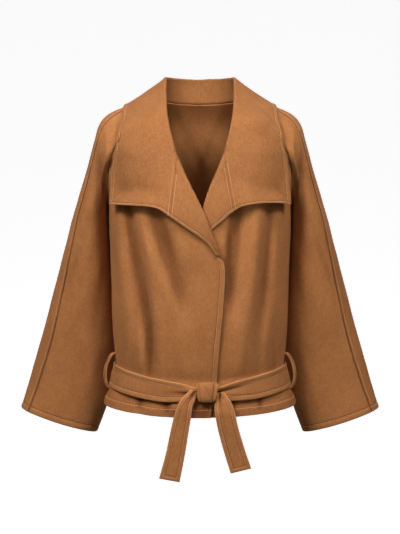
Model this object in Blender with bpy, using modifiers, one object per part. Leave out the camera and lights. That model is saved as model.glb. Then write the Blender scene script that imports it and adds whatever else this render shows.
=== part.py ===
"""Suede tie-belt jacket, worn form, as separate cut pieces.

The jacket hangs as a hollow garment: an open wrap front with a wide wing collar,
raglan sleeves cut in a front and a back half, and a belt tied in one knot.
Metres, +Z up. The wearer faces -Y, so the wearer's right side is at -X.
The origin is the middle of the wearer's neck base, level with the neck seam.
Tables are in millimetres and describe the wearer's right side, where x is negative
on the wearer's own side and positive across the centre. The left side mirrors them.
"""

import math

import bmesh
import bpy
import numpy as np
from mathutils import Vector
from mathutils.bvhtree import BVHTree

MM = 0.001
NAME = "suede_jacket"

# Driving sizes, in millimetres.
WALL = 1.8               # suede
SKIVED = 0.6             # share of the wall left at a seam, where suede is pared thin
SEAM = 0.3               # each piece stands back this far from a seam
TURNED_SEAM = 0.5        # and this far where the cloth turns sharply at it
ROUNDNESS = 2.2          # exponent of the body's rounded-oblong sections
NECK_DIP = 6.0           # the back neck seam dips this far at its middle
FOLD_RADIUS = 3.4        # roll of the collar and lapels
TIP_RADIUS = 2.3         # its least, at the lapel's lower end
UNDER_LAYER = 4.0        # a lapel's flat return under its roll
SAG = 0.08               # the wings sink this share of their width just past the roll
LAPEL_CLEAR = 3.8        # the lapels' good side to the cloth below them, at the least
COLLAR_CLEAR = 7.0       # the same for the collar
BELT_WALL = 3.2          # two layers of suede, stitched
BELT_CLEAR = 1.3         # belt to body
BELT_Z = -547.0          # the belt's middle at the side seams
BELT_HALF_SIDE = 23.0    # half of the belt's height at the side seams
BELT_HALF_KNOT = 17.5    # half of its height where the knot pinches it
KNOT_SIZE = (43.0, 16.5, 39.0)
KNOT_CAGE = 1.18         # the knot's cage over its size, because it is rounded off
KNOT_CENTRE = (13.5, -131.7, -571.5)
LOOP_WALL = 2.4
LOOP_WIDTH = 12.0
LOOP_Y = -9.0            # the carriers stand just in front of the side seams
TAPE_WALL = 1.2
TAPE_HEIGHT = 10.0
CUFF_DIP = 3.0           # the cuff's edge is cut this much longer at its middle
CORE = np.array([0.0, 0.0, -60.0])   # a point well inside the shoulders

# The body, hem to neck. seam_x with seam_front and seam_back is the raglan seam,
# and below the underarm the side seam. front and back are depths on the centre line.
# drop lowers the middle of the front.
TORSO_COLUMNS = ("z", "drop", "seam_x", "seam_front", "seam_back", "front", "back")
TORSO = np.array([
    (-606, 14, 192, 0, 0, 128, 121),
    (-592, 17, 189, 0, 0, 125.5, 118.5),
    (-581, 20, 184.5, 0, 0, 122, 115),
    (-572, 23, 178.5, 0, 0, 118.5, 111.5),
    (-547, 28, 173.5, 0, 0, 114, 108),
    (-524, 28, 168, 0, 0, 113, 107),
    (-500, 23, 170, 0, 0, 118, 110),
    (-460, 15, 174, 0, 0, 123, 114),
    (-400, 7, 176, 0, 0, 126, 117),
    (-320, 2, 178, 0, 0, 127, 120),
    (-250, 0, 181, 0, 0, 127, 121),
    (-208, 0, 182, 0, 0, 126, 121),
    (-190, 0, 182, 28, 32, 125.5, 121),
    (-165, 0, 181, 50, 54, 124, 121),
    (-128, 0, 177, 66, 74, 120, 119),
    (-108, 0, 168, 79, 86, 116.5, 117),
    (-60, 0, 140, 86, 93, 104, 109),
    (-30, 0, 116, 64, 82, 86, 99),
    (-10, 0, 100, 38, 60, 62, 84),
    (2, 0, 90, 22, 32, 42, 66),
])
UNDERARM_Z = -208
NECK_Z = 2
BODY_ROWS = (-606, -592, -581, -572, -548, -526, -505, -480, -450, -415, -378, -340)
RIGHT_BREAK_ROWS = (-320, -309, -303.5, -284, -258, -233)
LEFT_BREAK_ROWS = (-311, -290, -281.5, -266, -248, -228)
BACK_ROWS = (-300, -254)
RAGLAN_ROWS = (UNDERARM_Z, -184, -158, -129, -98, -66, -37, -14, NECK_Z)
FRONT_COLUMNS = 12
BACK_COLUMNS = 21

# Inner edge of each front, z and x. Below the lapel it is the front edge, up to the notch
# where the roll begins. Above the lapel it is the neck seam.
RIGHT_EDGE = ((-608, 20), (-545, 30), (-478, 35), (-413, 42), (-341, 46), (-325, 44.3),
              (-315, 41), (-309, 37.2))
LEFT_EDGE = ((-608, 45), (-400, 42), (-340, 33), (-311, 17), (-290, 9), (-281.5, -1.5))
NECK_SEAM = ((-98, -58), (-84, -62), (-68, -66), (-52, -70), (-34, -74), (-14, -79),
             (NECK_Z, -84))
LAPEL_GAP = 1.0          # the front's inner edge to the lapel's flat return
NECK_STEP = 1.4          # the collar's foot stands this far off the panels' neck edge
NECK_ROWS = 6            # rows of a front, from the top, that its neck edge takes in
BACK_NECK_X = 90.0
SLEEVE_NECK = (-85.5, 4.0, 8.3)      # the sleeve's neck end, between front and back

# How far the right front stands out where it laps over the left one, z and lift.
LAP_LIFT = ((-608, 4.5), (-400, 4.5), (-350, 6), (-305, 10.5), (-260, 12.5), (-225, 12),
            (-190, 8.5), (-150, 4), (-110, 1), (NECK_Z, 0))
LAP_START, LAP_FULL = -122.0, -62.0

# Soft folds: top x and z, low x and z, half width, height (a trough is negative).
RIGHT_FOLDS = ((-146, -214, -98, -510, 15, -5), (-112, -205, -84, -440, 13, 4.5),
               (-84, -205, -54, -340, 14, -4.5), (-117, -420, -112, -518, 10, 3),
               (-160, -230, -134, -500, 11, 3))
LEFT_FOLDS = ((-112, -205, -92, -420, 14, 5), (-64, -215, -60, -430, 15, -5),
              (-136, -210, -128, -450, 13, -3.5), (-146, -430, -140, -520, 9, -3),
              (-84, -420, -80, -518, 11, 3))
BACK_FOLDS = ((-124, -150, -104, -520, 16, -4.5), (-64, -230, -58, -518, 14, 4),
              (-16, -170, -10, -520, 18, -5), (34, -280, 30, -518, 13, 4),
              (84, -180, 72, -520, 16, -5), (130, -230, 116, -518, 12, 3.5))

# Wings, from the break of the lapel up the roll line and round the neck. A lapel row has
# the roll line's x and z, the outer edge's x and z, and how far the edge stands off.
RIGHT_LAPEL = ((36.3, -303.5, 29, -305.8, 3.5), (29, -284, 16, -289.5, 5),
               (20, -258, -3, -273.5, 6), (13, -239, -22, -260.5, 6.5),
               (4, -219, -42, -246.5, 6.5), (-5.5, -200, -62, -232, 7),
               (-15, -181, -83, -219.5, 10), (-24, -162, -106, -215, 14),
               (-32, -145, -127, -213.5, 16), (-39.5, -127, -148, -212.5, 19),
               (-46, -110, -166, -211.5, 28))
LEFT_LAPEL = ((7, -276, -2, -280, 4.5), (4, -262, -11, -274.5, 5),
              (1, -248, -20, -264.5, 5), (-3, -230, -32, -252.5, 5.5),
              (-6.5, -214, -46, -241, 6), (-12, -195, -62, -226, 7),
              (-20, -174, -82, -216, 10), (-28, -156, -104, -211.5, 14),
              (-35, -140, -124, -209, 16), (-41, -125, -146, -208.5, 19),
              (-46, -110, -164, -209, 27))
LAPEL_FOLD_LIFT = 1.6
# The twin-stitched seam between lapel and collar, x and z of its upper and lower end.
RIGHT_GORGE = ((-43.5, -117), (-57.5, -237))
LEFT_GORGE = ((-45.5, -117), (-65.5, -227))
GORGE_ROWS = 4           # the collar is cut from the wing between this row and its mirror
# A collar row has the fold's x, y and z and the outer edge's x, y and z.
COLLAR = np.array([
    (-49, -119, -99, -177.7, -78, -211),
    (-53, -115, -84, -175, -78, -187),
    (-57, -109, -68, -172.5, -80, -163),
    (-60, -101, -52, -169.7, -83, -140),
    (-63, -88, -34, -166, -85, -116),
    (-65, -68, -14, -161, -86, -90),
    (-66, -42, 8, -156, -78, -63),
    (-66.5, -18, 28, -152, -52, -36),
    (-66, 8, 44, -151, 4, -13),
    (-58, 34, 47, -133, 68, -34),
    (-48, 45, 47.3, -108, 96, -46),
    (-26, 56, 47.4, -58, 117, -59),
    (0, 60, 47, 0, 122, -64),
])

# Sleeve rings: overarm point, underarm point, middle depth and half depth.
# The first nine turn from the raglan seam into the sleeve, the rest go down to the cuff.
SLEEVE_COLUMNS = ("over_x", "over_z", "under_x", "under_z", "mid_y", "half_depth")
SLEEVE = np.array([
    (-85.5, 8.3, -182, -208, 4, 84),
    (-112, -2, -182.4, -211, 4, 83),
    (-140, -13, -182.8, -214, 5, 81),
    (-166, -21.2, -183.0, -217, 6, 79),
    (-184.5, -29.6, -183.0, -220, 8, 77),
    (-198.5, -44, -182.8, -223, 10, 76),
    (-207.5, -67, -182.6, -226, 13, 75),
    (-220, -109, -182.2, -230, 17, 74),
    (-234, -160, -181.8, -236, 22, 73),
    (-252, -219, -181.4, -250, 27, 72),
    (-277.5, -312, -178.5, -330, 36, 68),
    (-298.5, -389, -172, -412, 45, 63),
    (-320.5, -470, -169.5, -500, 53, 57),
    (-340.5, -540, -179.5, -576, 58, 51),
    (-354, -590, -195.5, -630, 60, 47),
    (-362.5, -618, -211, -668, 60, 45),
])
CAP_RINGS = 9
LOWER_RINGS = 10
LOWER_SHARES = (0, 0.05, 0.15, 0.28, 0.42, 0.56, 0.7, 0.83, 0.94, 1.0)
RAGLAN_BLEND = (1.0, 0.86, 0.7, 0.53, 0.37, 0.23, 0.12, 0.04)
# How far forward the overarm seam lies: ring, neck to cuff, and degrees.
SLEEVE_SEAM_TURN = ((0, 6), (2.5, 20), (5.5, 34), (9, 43), (12.5, 48), (18, 39))
NECK_END_SHARE = 0.085          # share of a ring between the overarm and the raglan corner

# Belt tails, top to end: left and right x, left and right z, and the good side's depth.
TAIL_RIGHT = np.array([
    (-17, -5.6, -566, -572, -127.9), (-30, -9, -577, -585, -131.8),
    (-39, -14, -588, -596, -136.5), (-47, -16, -607, -611, -140),
    (-54, -20.5, -634, -638, -139.5), (-65, -29, -686, -691, -138.5),
    (-76.5, -39.5, -731, -738.5, -138.5),
])
TAIL_LEFT = np.array([
    (32.6, 44, -578, -569, -127.9), (29, 54, -588, -581, -131.8),
    (27, 62, -600, -594, -136.5), (29, 67, -614, -610, -140),
    (33, 72, -636, -633, -139.5), (45, 84.5, -682, -676, -138.5),
    (57, 95.5, -719, -709.5, -138.5),
])
TAIL_ROWS = 12

# Belt carrier at the side seam: x and z of its outer face, top to bottom.
LOOP_PATH = ((-171.6, -504), (-177, -508), (-184, -518), (-190, -533), (-192, -548),
             (-191.2, -562), (-189, -572), (-185.8, -580))
LOOP_ROWS = 11

SUEDE = (0.42, 0.19, 0.065)
SUEDE_DARK = (0.33, 0.145, 0.05)


def spline(stations, values, at):
    """Values at the given stations, through the table's rows without overshoot."""
    knots = np.asarray(stations, float)
    rows = np.asarray(values, float).reshape(len(knots), -1)
    at = np.clip(np.atleast_1d(np.asarray(at, float)), knots[0], knots[-1])
    step = np.diff(knots)[:, None]
    slope = np.diff(rows, axis=0) / step
    before, after = slope[:-1], slope[1:]
    total = before + after
    safe = np.where(np.abs(total) < 1e-12, 1.0, total)
    inner = np.where(before * after > 0, 2 * before * after / safe, 0.0)
    tangent = np.vstack([slope[:1], inner, slope[-1:]])
    low = np.clip(np.searchsorted(knots, at, side="right") - 1, 0, len(knots) - 2)
    width = step[low]
    t = ((at - knots[low]) / width[:, 0])[:, None]
    ease = t * t * (3 - 2 * t)
    enter = t * (1 - t) ** 2
    leave = t * t * (t - 1)
    return (rows[low] * (1 - ease) + rows[low + 1] * ease
            + tangent[low] * enter * width + tangent[low + 1] * leave * width)


def smooth_rows(rows, count):
    """The table resampled to count rows, evenly between its first and last."""
    rows = np.asarray(rows, float)
    return spline(np.arange(len(rows)), rows, np.linspace(0, len(rows) - 1, count))


def lookup(table, at):
    """One value from a two-column table in rising order."""
    table = np.asarray(table, float)
    return float(spline(table[:, 0], table[:, 1], at)[0, 0])


def ramp(value, low, high):
    """0 below low, 1 above high, smooth between."""
    t = min(max((value - low) / (high - low), 0.0), 1.0)
    return t * t * (3 - 2 * t)


def unit(vector):
    return vector / max(float(np.linalg.norm(vector)), 1e-9)


def torso(z):
    """The body's section at a row: its measures by name, and both spans."""
    row = dict(zip(TORSO_COLUMNS, spline(TORSO[:, 0], TORSO, z)[0]))
    for face in ("front", "back"):
        reach = (row["seam_" + face] / row[face]) ** ROUNDNESS
        row["span_" + face] = row["seam_x"] / (1 - reach) ** (1 / ROUNDNESS)
    return row


def surface_depth(x, z, face):
    """How far the plain body reaches in front of or behind the middle at x and z."""
    row = torso(z)
    share = min(abs(x) / row["span_" + face], 1.0)
    return row[face] * (1 - share ** ROUNDNESS) ** (1 / ROUNDNESS)


def section_angle(x, span):
    """The oblong's angle at x: 0 on the wearer's own side, a half turn on the other."""
    share = min(abs(x) / span, 1.0) ** (ROUNDNESS / 2)
    return math.acos(share if x < 0 else -share)


def body_point(angle, z, face, lift):
    """The body's point at an angle of a row, moved out by lift."""
    row = torso(z)
    span, depth = row["span_" + face], row[face]
    sign = -1 if face == "front" else 1
    cosine, sine = math.cos(angle), abs(math.sin(angle))
    x = -span * math.copysign(abs(cosine) ** (2 / ROUNDNESS), cosine)
    reach = depth * sine ** (2 / ROUNDNESS)
    drop = row["drop"] * (reach / depth) ** 2 if face == "front" else 0.0
    out = unit(np.array([x / span ** 2, sign * reach / depth ** 2, 0.0]))
    return np.array([x, sign * reach, z - drop]) + out * lift(x, z)


def body_row(z, start_x, end_x, face, count, lift):
    """Points across one row of a body panel."""
    span = torso(z)["span_" + face]
    angles = np.linspace(section_angle(start_x, span), section_angle(end_x, span), count)
    return [body_point(angle, z, face, lift) for angle in angles]


def lap_lift(x, z):
    """How far the right front stands off the body at x and z."""
    return lookup(LAP_LIFT, z) * ramp(x, LAP_START, LAP_FULL)


def fold_height(folds, x, z):
    """Sum of the soft folds at x and z."""
    height = 0.0
    for top_x, top_z, low_x, low_z, half_width, rise in folds:
        along = (top_z - z) / (top_z - low_z)
        if 0 < along < 1:
            axis = top_x + (low_x - top_x) * along
            across = math.exp(-((x - axis) / half_width) ** 2)
            height += rise * across * math.sin(math.pi * along) ** 0.7
    return height


def border_of(side):
    """Index of a grid's border and of the line of points next to it."""
    every = slice(None)
    return {"first_row": ((0, every), (1, every)),
            "last_row": ((-1, every), (-2, every)),
            "first_column": ((every, 0), (every, 1)),
            "last_column": ((every, -1), (every, -2))}[side]


def stand_back(grid, sides, amount=SEAM):
    """Move borders of a grid of points back from their seams, square to the seam."""
    grid = np.array(grid, float)
    for side in sides:
        border, inner = border_of(side)
        run = np.gradient(grid[border], axis=0)
        run /= np.maximum(np.linalg.norm(run, axis=-1, keepdims=True), 1e-9)
        step = grid[inner] - grid[border]
        step -= run * np.sum(step * run, axis=-1, keepdims=True)
        length = np.maximum(np.linalg.norm(step, axis=-1, keepdims=True), 1e-9)
        grid[border] = grid[border] + step / length * amount
    return grid


def mirrored(grid):
    return np.asarray(grid, float) * np.array([-1.0, 1.0, 1.0])


def suede_material(name, colour):
    material = bpy.data.materials.get(name)
    if material is None:
        material = bpy.data.materials.new(name)
        material.use_nodes = True
        shader = material.node_tree.nodes["Principled BSDF"]
        shader.inputs["Base Color"].default_value = (*colour, 1.0)
        shader.inputs["Roughness"].default_value = 0.95
        shader.inputs["Metallic"].default_value = 0.0
    return material


def sheet(collection, name, grid, facing, skived=(), wall=WALL, material=None):
    """A cloth wall from a grid of points on its good side, pared thin at its seams.

    facing is the good side's direction at the middle of the grid.
    """
    grid = np.asarray(grid, float)
    rows, columns = grid.shape[:2]
    corner = np.arange(rows * columns).reshape(rows, columns)
    faces = [(corner[r, c], corner[r, c + 1], corner[r + 1, c + 1], corner[r + 1, c])
             for r in range(rows - 1) for c in range(columns - 1)]
    r, c = rows // 2 - 1, columns // 2 - 1
    normal = np.cross(grid[r, c + 1] - grid[r, c], grid[r + 1, c] - grid[r, c])
    if np.dot(normal, facing) < 0:
        faces = [face[::-1] for face in faces]
    mesh = bpy.data.meshes.new(name)
    mesh.from_pydata([tuple(point * MM) for point in grid.reshape(-1, 3)], [],
                     [tuple(int(index) for index in face) for face in faces])
    mesh.shade_smooth()
    mesh.materials.append(material or suede_material("suede", SUEDE))
    piece = bpy.data.objects.new(name, mesh)
    collection.objects.link(piece)
    solidify = piece.modifiers.new("wall", "SOLIDIFY")
    solidify.thickness = wall * MM
    solidify.offset = -1.0
    solidify.use_even_offset = True
    if skived:
        full = np.ones((rows, columns), bool)
        for side in skived:
            full[border_of(side)[0]] = False
        group = piece.vertex_groups.new(name="full_wall")
        group.add([int(index) for index in corner[full]], 1.0, "REPLACE")
        solidify.vertex_group = group.name
        solidify.thickness_vertex_group = SKIVED
    return piece


def cloth_tree(pieces):
    """The pieces' good sides, to be searched for the point nearest to another."""
    points, faces = [], []
    for piece in pieces:
        first = len(points)
        points += [vertex.co.copy() for vertex in piece.data.vertices]
        faces += [[first + index for index in face.vertices] for face in piece.data.polygons]
    return BVHTree.FromPolygons(points, faces)


def raised(point, tree, clear, blend=2.5):
    """The point moved out, where it must be, to clear the cloth beneath it."""
    spot, normal, _, _ = tree.find_nearest(Vector(point * MM))
    height = (Vector(point * MM) - spot).dot(normal) / MM
    wanted = (height + clear + math.sqrt((height - clear) ** 2 + blend ** 2)) / 2
    return point + np.array(normal) * (wanted - height)


def wing_section(fold, tangent, edge, neck, tree, clear):
    """Points from the neck seam up, round the fold and down to the outer edge."""
    fall = edge - fold
    down = unit(fall - np.dot(fall, tangent) * tangent)
    out = np.cross(tangent, down)
    if np.dot(out, fold - CORE) < 0:
        out = -out
    radius = min(FOLD_RADIUS, max(TIP_RADIUS, 0.2 * np.linalg.norm(fall)))
    centre = fold + down * radius
    under = centre - out * radius
    if neck is None:
        neck = under + down * UNDER_LAYER
    points = [neck + (under - neck) * t for t in (0.0, 0.45)]
    for turn in np.radians((-90, -40, 0, 40, 90)):
        points.append(centre + radius * (out * math.sin(turn) - down * math.cos(turn)))
    start = points[-1]
    span = np.linalg.norm(edge - start)
    bend = start + down * min(span / 3, 12.0) - out * span * SAG
    arrive = edge - unit(edge - bend) * span / 3
    for t in (0.14, 0.3, 0.46, 0.62, 0.76, 0.89, 1.0):
        point = ((1 - t) ** 3 * start + 3 * t * (1 - t) ** 2 * bend
                 + 3 * t * t * (1 - t) * arrive + t ** 3 * edge)
        if tree:
            point = raised(raised(point, tree, clear), tree, clear)
        points.append(point)
    return points


def wing_grid(rows, necks, trees, clears):
    """Sections along a wing, from rows of fold and edge points."""
    tangents = np.gradient(rows[:, :3], axis=0)
    return np.array([wing_section(row[:3], unit(tangent), row[3:], neck, tree, clear)
                     for row, tangent, neck, tree, clear
                     in zip(rows, tangents, necks, trees, clears)])


def lapel_rows(table, laps_over):
    """Fold and edge points of a lapel's rows, on the front's surface."""
    rows = []
    for fold_x, fold_z, edge_x, edge_z, edge_lift in table:
        points = []
        for x, z, lift in ((fold_x, fold_z, LAPEL_FOLD_LIFT), (edge_x, edge_z, edge_lift)):
            lap = lap_lift(x, z) if laps_over else 0.0
            points += [x, -(surface_depth(x, z, "front") + lap + lift), z]
        rows.append(points)
    return np.array(rows)


def lapel_return(table, laps_over):
    """Inner edge of the front beside the lapel's flat return, z and x, rising."""
    nothing = [None] * len(table)
    grid = wing_grid(lapel_rows(table, laps_over), nothing, nothing, nothing)
    return tuple((point[2], point[0] - LAPEL_GAP) for point in grid[:, 0])


def front_grid(edge, lapel, break_rows, folds, laps_over):
    """One front: rows from hem to neck, columns from the side or raglan seam to its edge."""
    def lift(x, z):
        return fold_height(folds, x, z) + (lap_lift(x, z) if laps_over else 0.0)

    inner_edge = edge + lapel_return(lapel, laps_over) + NECK_SEAM
    rows = [body_row(z, -torso(z)["seam_x"], lookup(inner_edge, z), "front",
                     FRONT_COLUMNS, lift) for z in BODY_ROWS + break_rows + RAGLAN_ROWS]
    return stand_back(rows, ("first_column",))


def back_grid():
    """The back: rows from hem to neck, its top dipped to the neck seam."""
    def lift(x, z):
        return fold_height(BACK_FOLDS, x, z)

    grid = []
    for z in BODY_ROWS + BACK_ROWS + RAGLAN_ROWS:
        seam = torso(z)["seam_x"]
        row = body_row(z, -seam, seam, "back", BACK_COLUMNS, lift)
        for point in row:
            point[2] -= NECK_DIP * ramp(z, -60, NECK_Z) * (1 - (point[0] / seam) ** 2)
        grid.append(row)
    return stand_back(grid, ("first_column", "last_column"))


def raglan_border(face):
    """Neck end and raglan seam of a sleeve half, and each point's share of the ring."""
    sign = -1 if face == "front" else 1
    seam = []
    for z in RAGLAN_ROWS[::-1]:
        row = torso(z)
        seam.append((-row["seam_x"], sign * row["seam_" + face], z))
    seam = np.array(seam)
    length = np.concatenate([[0], np.cumsum(np.linalg.norm(np.diff(seam, axis=0), axis=1))])
    shares = NECK_END_SHARE + (1 - NECK_END_SHARE) * length / length[-1]
    return np.vstack([[SLEEVE_NECK], seam]), np.concatenate([[0], shares])


def sleeve_ring(values, angles):
    """Points of one flattened ring. Angle 0 is the overarm, a half turn the underarm."""
    ring = dict(zip(SLEEVE_COLUMNS, values))
    over = np.array([ring["over_x"], 0.0, ring["over_z"]])
    under = np.array([ring["under_x"], 0.0, ring["under_z"]])
    middle, reach = (over + under) / 2, (over - under) / 2
    depth = np.array([[0, ring["mid_y"] - ring["half_depth"] * math.sin(angle), 0]
                      for angle in angles])
    return middle + np.outer(np.cos(angles), reach) + depth


def sleeve_grid(face):
    """One sleeve half: rows from the neck and raglan seam to the cuff."""
    rings = np.vstack([SLEEVE[:CAP_RINGS], smooth_rows(SLEEVE[CAP_RINGS:], LOWER_RINGS)])
    border, shares = raglan_border(face)
    seam_turn = [math.radians(lookup(SLEEVE_SEAM_TURN, index)) for index in range(len(rings))]
    under = math.pi if face == "front" else -math.pi
    grid = []
    for index, (values, start) in enumerate(zip(rings, seam_turn)):
        even = ramp(index, CAP_RINGS - 4, CAP_RINGS + 3)
        angles = start + (under - start) * (shares * (1 - even) + np.array(LOWER_SHARES) * even)
        grid.append(sleeve_ring(values, angles))
        if index == len(rings) - 1:
            grid[-1][:, 2] -= CUFF_DIP * np.abs(np.sin(angles))
    away = border - grid[0]
    for index, share in enumerate(RAGLAN_BLEND):
        grid[index] = grid[index] + share * away
    grid = stand_back(grid, ("first_row",), TURNED_SEAM)
    return stand_back(grid, ("first_column", "last_column"))


def build_body(collection):
    grids = {
        "back_panel": back_grid(),
        "front_right": front_grid(RIGHT_EDGE, RIGHT_LAPEL, RIGHT_BREAK_ROWS, RIGHT_FOLDS, True),
        "front_left": mirrored(front_grid(LEFT_EDGE, LEFT_LAPEL, LEFT_BREAK_ROWS, LEFT_FOLDS,
                                          False)),
    }
    sides = ("first_column", "last_column")
    pieces = {
        "back_panel": sheet(collection, "back_panel", grids["back_panel"], (0, 1, 0), sides),
        "front_right": sheet(collection, "front_right", grids["front_right"], (-0.6, -1, 0),
                             sides[:1]),
        "front_left": sheet(collection, "front_left", grids["front_left"], (0.6, -1, 0),
                            sides[:1]),
    }
    return grids, pieces


def build_sleeves(collection):
    seams = ("first_row", "first_column", "last_column")
    pieces = {}
    for face, outward in (("front", -1), ("back", 1)):
        grid = sleeve_grid(face)
        for side, points in (("right", grid), ("left", mirrored(grid))):
            name = f"sleeve_{side}_{face}"
            pieces[name] = sheet(collection, name, points, (0, outward, 0), seams)
    return pieces


def neck_line(grids):
    """The panels' neck edge from right front to left front, and the ways off the panels."""
    back = grids["back_panel"]
    middle = BACK_COLUMNS // 2
    halves = []
    for front, side in ((grids["front_right"], 1), (mirrored(grids["front_left"]), -1)):
        top = back[:, :middle + 1]
        line = np.vstack([front[-NECK_ROWS:, -1], [SLEEVE_NECK], top[-1]])
        away = np.vstack([front[-NECK_ROWS:, -1] - front[-NECK_ROWS:, -2], [(1.0, 0.0, 0.4)],
                          top[-1] - top[-2]])
        tangent = np.gradient(line, axis=0)
        tangent /= np.linalg.norm(tangent, axis=1, keepdims=True)
        away -= tangent * np.sum(away * tangent, axis=1, keepdims=True)
        away /= np.linalg.norm(away, axis=1, keepdims=True)
        flip = np.array([side, 1.0, 1.0])
        halves.append((line * flip, away * flip))
    (right_line, right_away), (left_line, left_away) = halves
    return (np.vstack([right_line, left_line[-2::-1]]),
            np.vstack([right_away, left_away[-2::-1]]))


def foot_on(line, away, point):
    """Foot of the collar's stand for a fold point: nearest on the neck edge, a step off it."""
    step = line[1:] - line[:-1]
    share = np.sum((point - line[:-1]) * step, axis=1) / np.sum(step * step, axis=1)
    share = np.clip(share, 0, 1)[:, None]
    feet = line[:-1] + step * share
    best = int(np.argmin(np.linalg.norm(feet - point, axis=1)))
    direction = away[best] * (1 - share[best]) + away[best + 1] * share[best]
    return feet[best] + unit(direction) * NECK_STEP


def cut_at_gorge(piece, faces_each_end, gorges, keep_collar):
    """Cut a wing's sheet along the seams between lapel and collar, pared thin there."""
    shape = bmesh.new()
    shape.from_mesh(piece.data)
    weight = shape.verts.layers.deform.verify()
    shape.faces.ensure_lookup_table()
    ends = (shape.faces[:faces_each_end], shape.faces[-faces_each_end:])
    for faces, (upper, lower, side) in zip(ends, gorges):
        run, rise = lower[0] - upper[0], lower[1] - upper[1]
        normal = np.array([-rise, 0.0, run]) / math.hypot(run, rise)
        spot = np.array([upper[0], 0.0, upper[1]]) + normal * (
            -TURNED_SEAM if keep_collar else TURNED_SEAM)
        flip = np.array([side, 1.0, 1.0])
        parts = set(faces)
        for face in faces:
            parts.update(face.verts)
            parts.update(face.edges)
        cut = bmesh.ops.bisect_plane(shape, geom=list(parts), dist=0.01 * MM,
                                     plane_co=spot * flip * MM, plane_no=normal * flip,
                                     clear_outer=keep_collar, clear_inner=not keep_collar)
        for part in cut["geom_cut"]:
            if isinstance(part, bmesh.types.BMVert):
                part[weight][0] = 0.0
    shape.to_mesh(piece.data)
    shape.free()


def build_wings(collection, grids, pieces):
    """Collar and lapels, cut from one strip that runs from break to break."""
    flip = np.tile([-1.0, 1.0, 1.0], 2)
    right, left = lapel_rows(RIGHT_LAPEL, True), lapel_rows(LEFT_LAPEL, False)
    rows = np.vstack([right, COLLAR, COLLAR[-2::-1] * flip, left[::-1] * flip])
    line, away = neck_line(grids)
    tree = {side: cloth_tree([pieces["front_" + side], pieces[f"sleeve_{side}_front"],
                              pieces[f"sleeve_{side}_back"], pieces["back_panel"]])
            for side in ("right", "left")}
    first, last = len(right), len(rows) - len(left)
    middle = len(rows) // 2
    necks = [foot_on(line, away, row[:3]) if first <= index < last else None
             for index, row in enumerate(rows)]
    trees = [tree["right"] if index <= middle else tree["left"] for index in range(len(rows))]
    spread = [ramp(min(index, len(rows) - 1 - index), first - 5, first + 2)
              for index in range(len(rows))]
    clears = [LAPEL_CLEAR + (COLLAR_CLEAR - LAPEL_CLEAR) * share for share in spread]
    grid = wing_grid(rows, necks, trees, clears)
    across = grid.shape[1] - 1
    right_gorge, left_gorge = (*RIGHT_GORGE, 1), (*LEFT_GORGE, -1)
    collar = sheet(collection, "collar", grid[GORGE_ROWS:-GORGE_ROWS], (0, 0, 1),
                   ("first_column",))
    reach = first + 2 - GORGE_ROWS
    cut_at_gorge(collar, reach * across, (right_gorge, left_gorge), True)
    for name, lapel, gorge in (("lapel_right", grid[:first + 2], right_gorge),
                               ("lapel_left", grid[-first - 2:], left_gorge)):
        piece = sheet(collection, name, lapel, (0, -1, 0), ("first_column",))
        cut_at_gorge(piece, len(piece.data.polygons), (gorge,), False)


def build_neck_tape(collection):
    """Strip over the neck seam, on the inner side of the back."""
    grid = []
    for x in np.linspace(-74, 74, 15):
        top = NECK_Z - NECK_DIP * (1 - (x / BACK_NECK_X) ** 2)
        depth = surface_depth(x, NECK_Z, "back") - WALL
        grid.append([(x, surface_depth(x, z, "back") - WALL - 0.9 - TAPE_WALL, z)
                     if z < NECK_Z else (x, depth - 0.9 - TAPE_WALL, z)
                     for z in (top - TAPE_HEIGHT, top - TAPE_HEIGHT / 2, top)])
    sheet(collection, "neck_tape", grid, (0, -1, 0), (), TAPE_WALL,
          suede_material("suede_trim", SUEDE_DARK))


def belt_lift(x, _):
    """Belt's good side to the body: over the lapped fronts it clears the upper one."""
    return BELT_WALL + BELT_CLEAR + 4.7 * ramp(x, LAP_START, LAP_FULL) * (1 - ramp(x, 40, 80))


def belt_point(face, angle, share):
    """The belt's point at an angle of the body, share from its lower to its upper edge."""
    middle = body_point(angle, BELT_Z, face, belt_lift)
    half = BELT_HALF_SIDE
    if face == "front":
        near_knot = 1 - ramp(abs(middle[0] - KNOT_CENTRE[0]), 20, 100)
        half -= (BELT_HALF_SIDE - BELT_HALF_KNOT) * near_knot
    return body_point(angle, BELT_Z + share * half, face, belt_lift)


def build_belt(collection):
    """The band, from one side of the knot round the back to the other side."""
    span = torso(BELT_Z)["span_front"]
    right_end = section_angle(KNOT_CENTRE[0] - 5, span)
    left_end = section_angle(KNOT_CENTRE[0] + 5, span)
    line = [("front", angle) for angle in np.linspace(right_end, 0, 19)]
    line += [("back", angle) for angle in np.linspace(0, math.pi, 27)[1:-1]]
    line += [("front", angle) for angle in np.linspace(math.pi, left_end, 17)]
    grid = [[belt_point(face, angle, share) for share in (-1, 0, 1)] for face, angle in line]
    sheet(collection, "belt_band", grid, (0, 1, 0), (), BELT_WALL)


def build_knot(collection):
    bpy.ops.mesh.primitive_cube_add(size=KNOT_CAGE * MM,
                                    location=[value * MM for value in KNOT_CENTRE])
    knot = bpy.context.object
    knot.name = knot.data.name = "belt_knot"
    for holder in list(knot.users_collection):
        holder.objects.unlink(knot)
    collection.objects.link(knot)
    for vertex in knot.data.vertices:
        for axis, size in enumerate(KNOT_SIZE):
            vertex.co[axis] *= size
    soften = knot.modifiers.new("soften", "SUBSURF")
    soften.levels = soften.render_levels = 2
    knot.data.materials.append(suede_material("suede", SUEDE))


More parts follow.
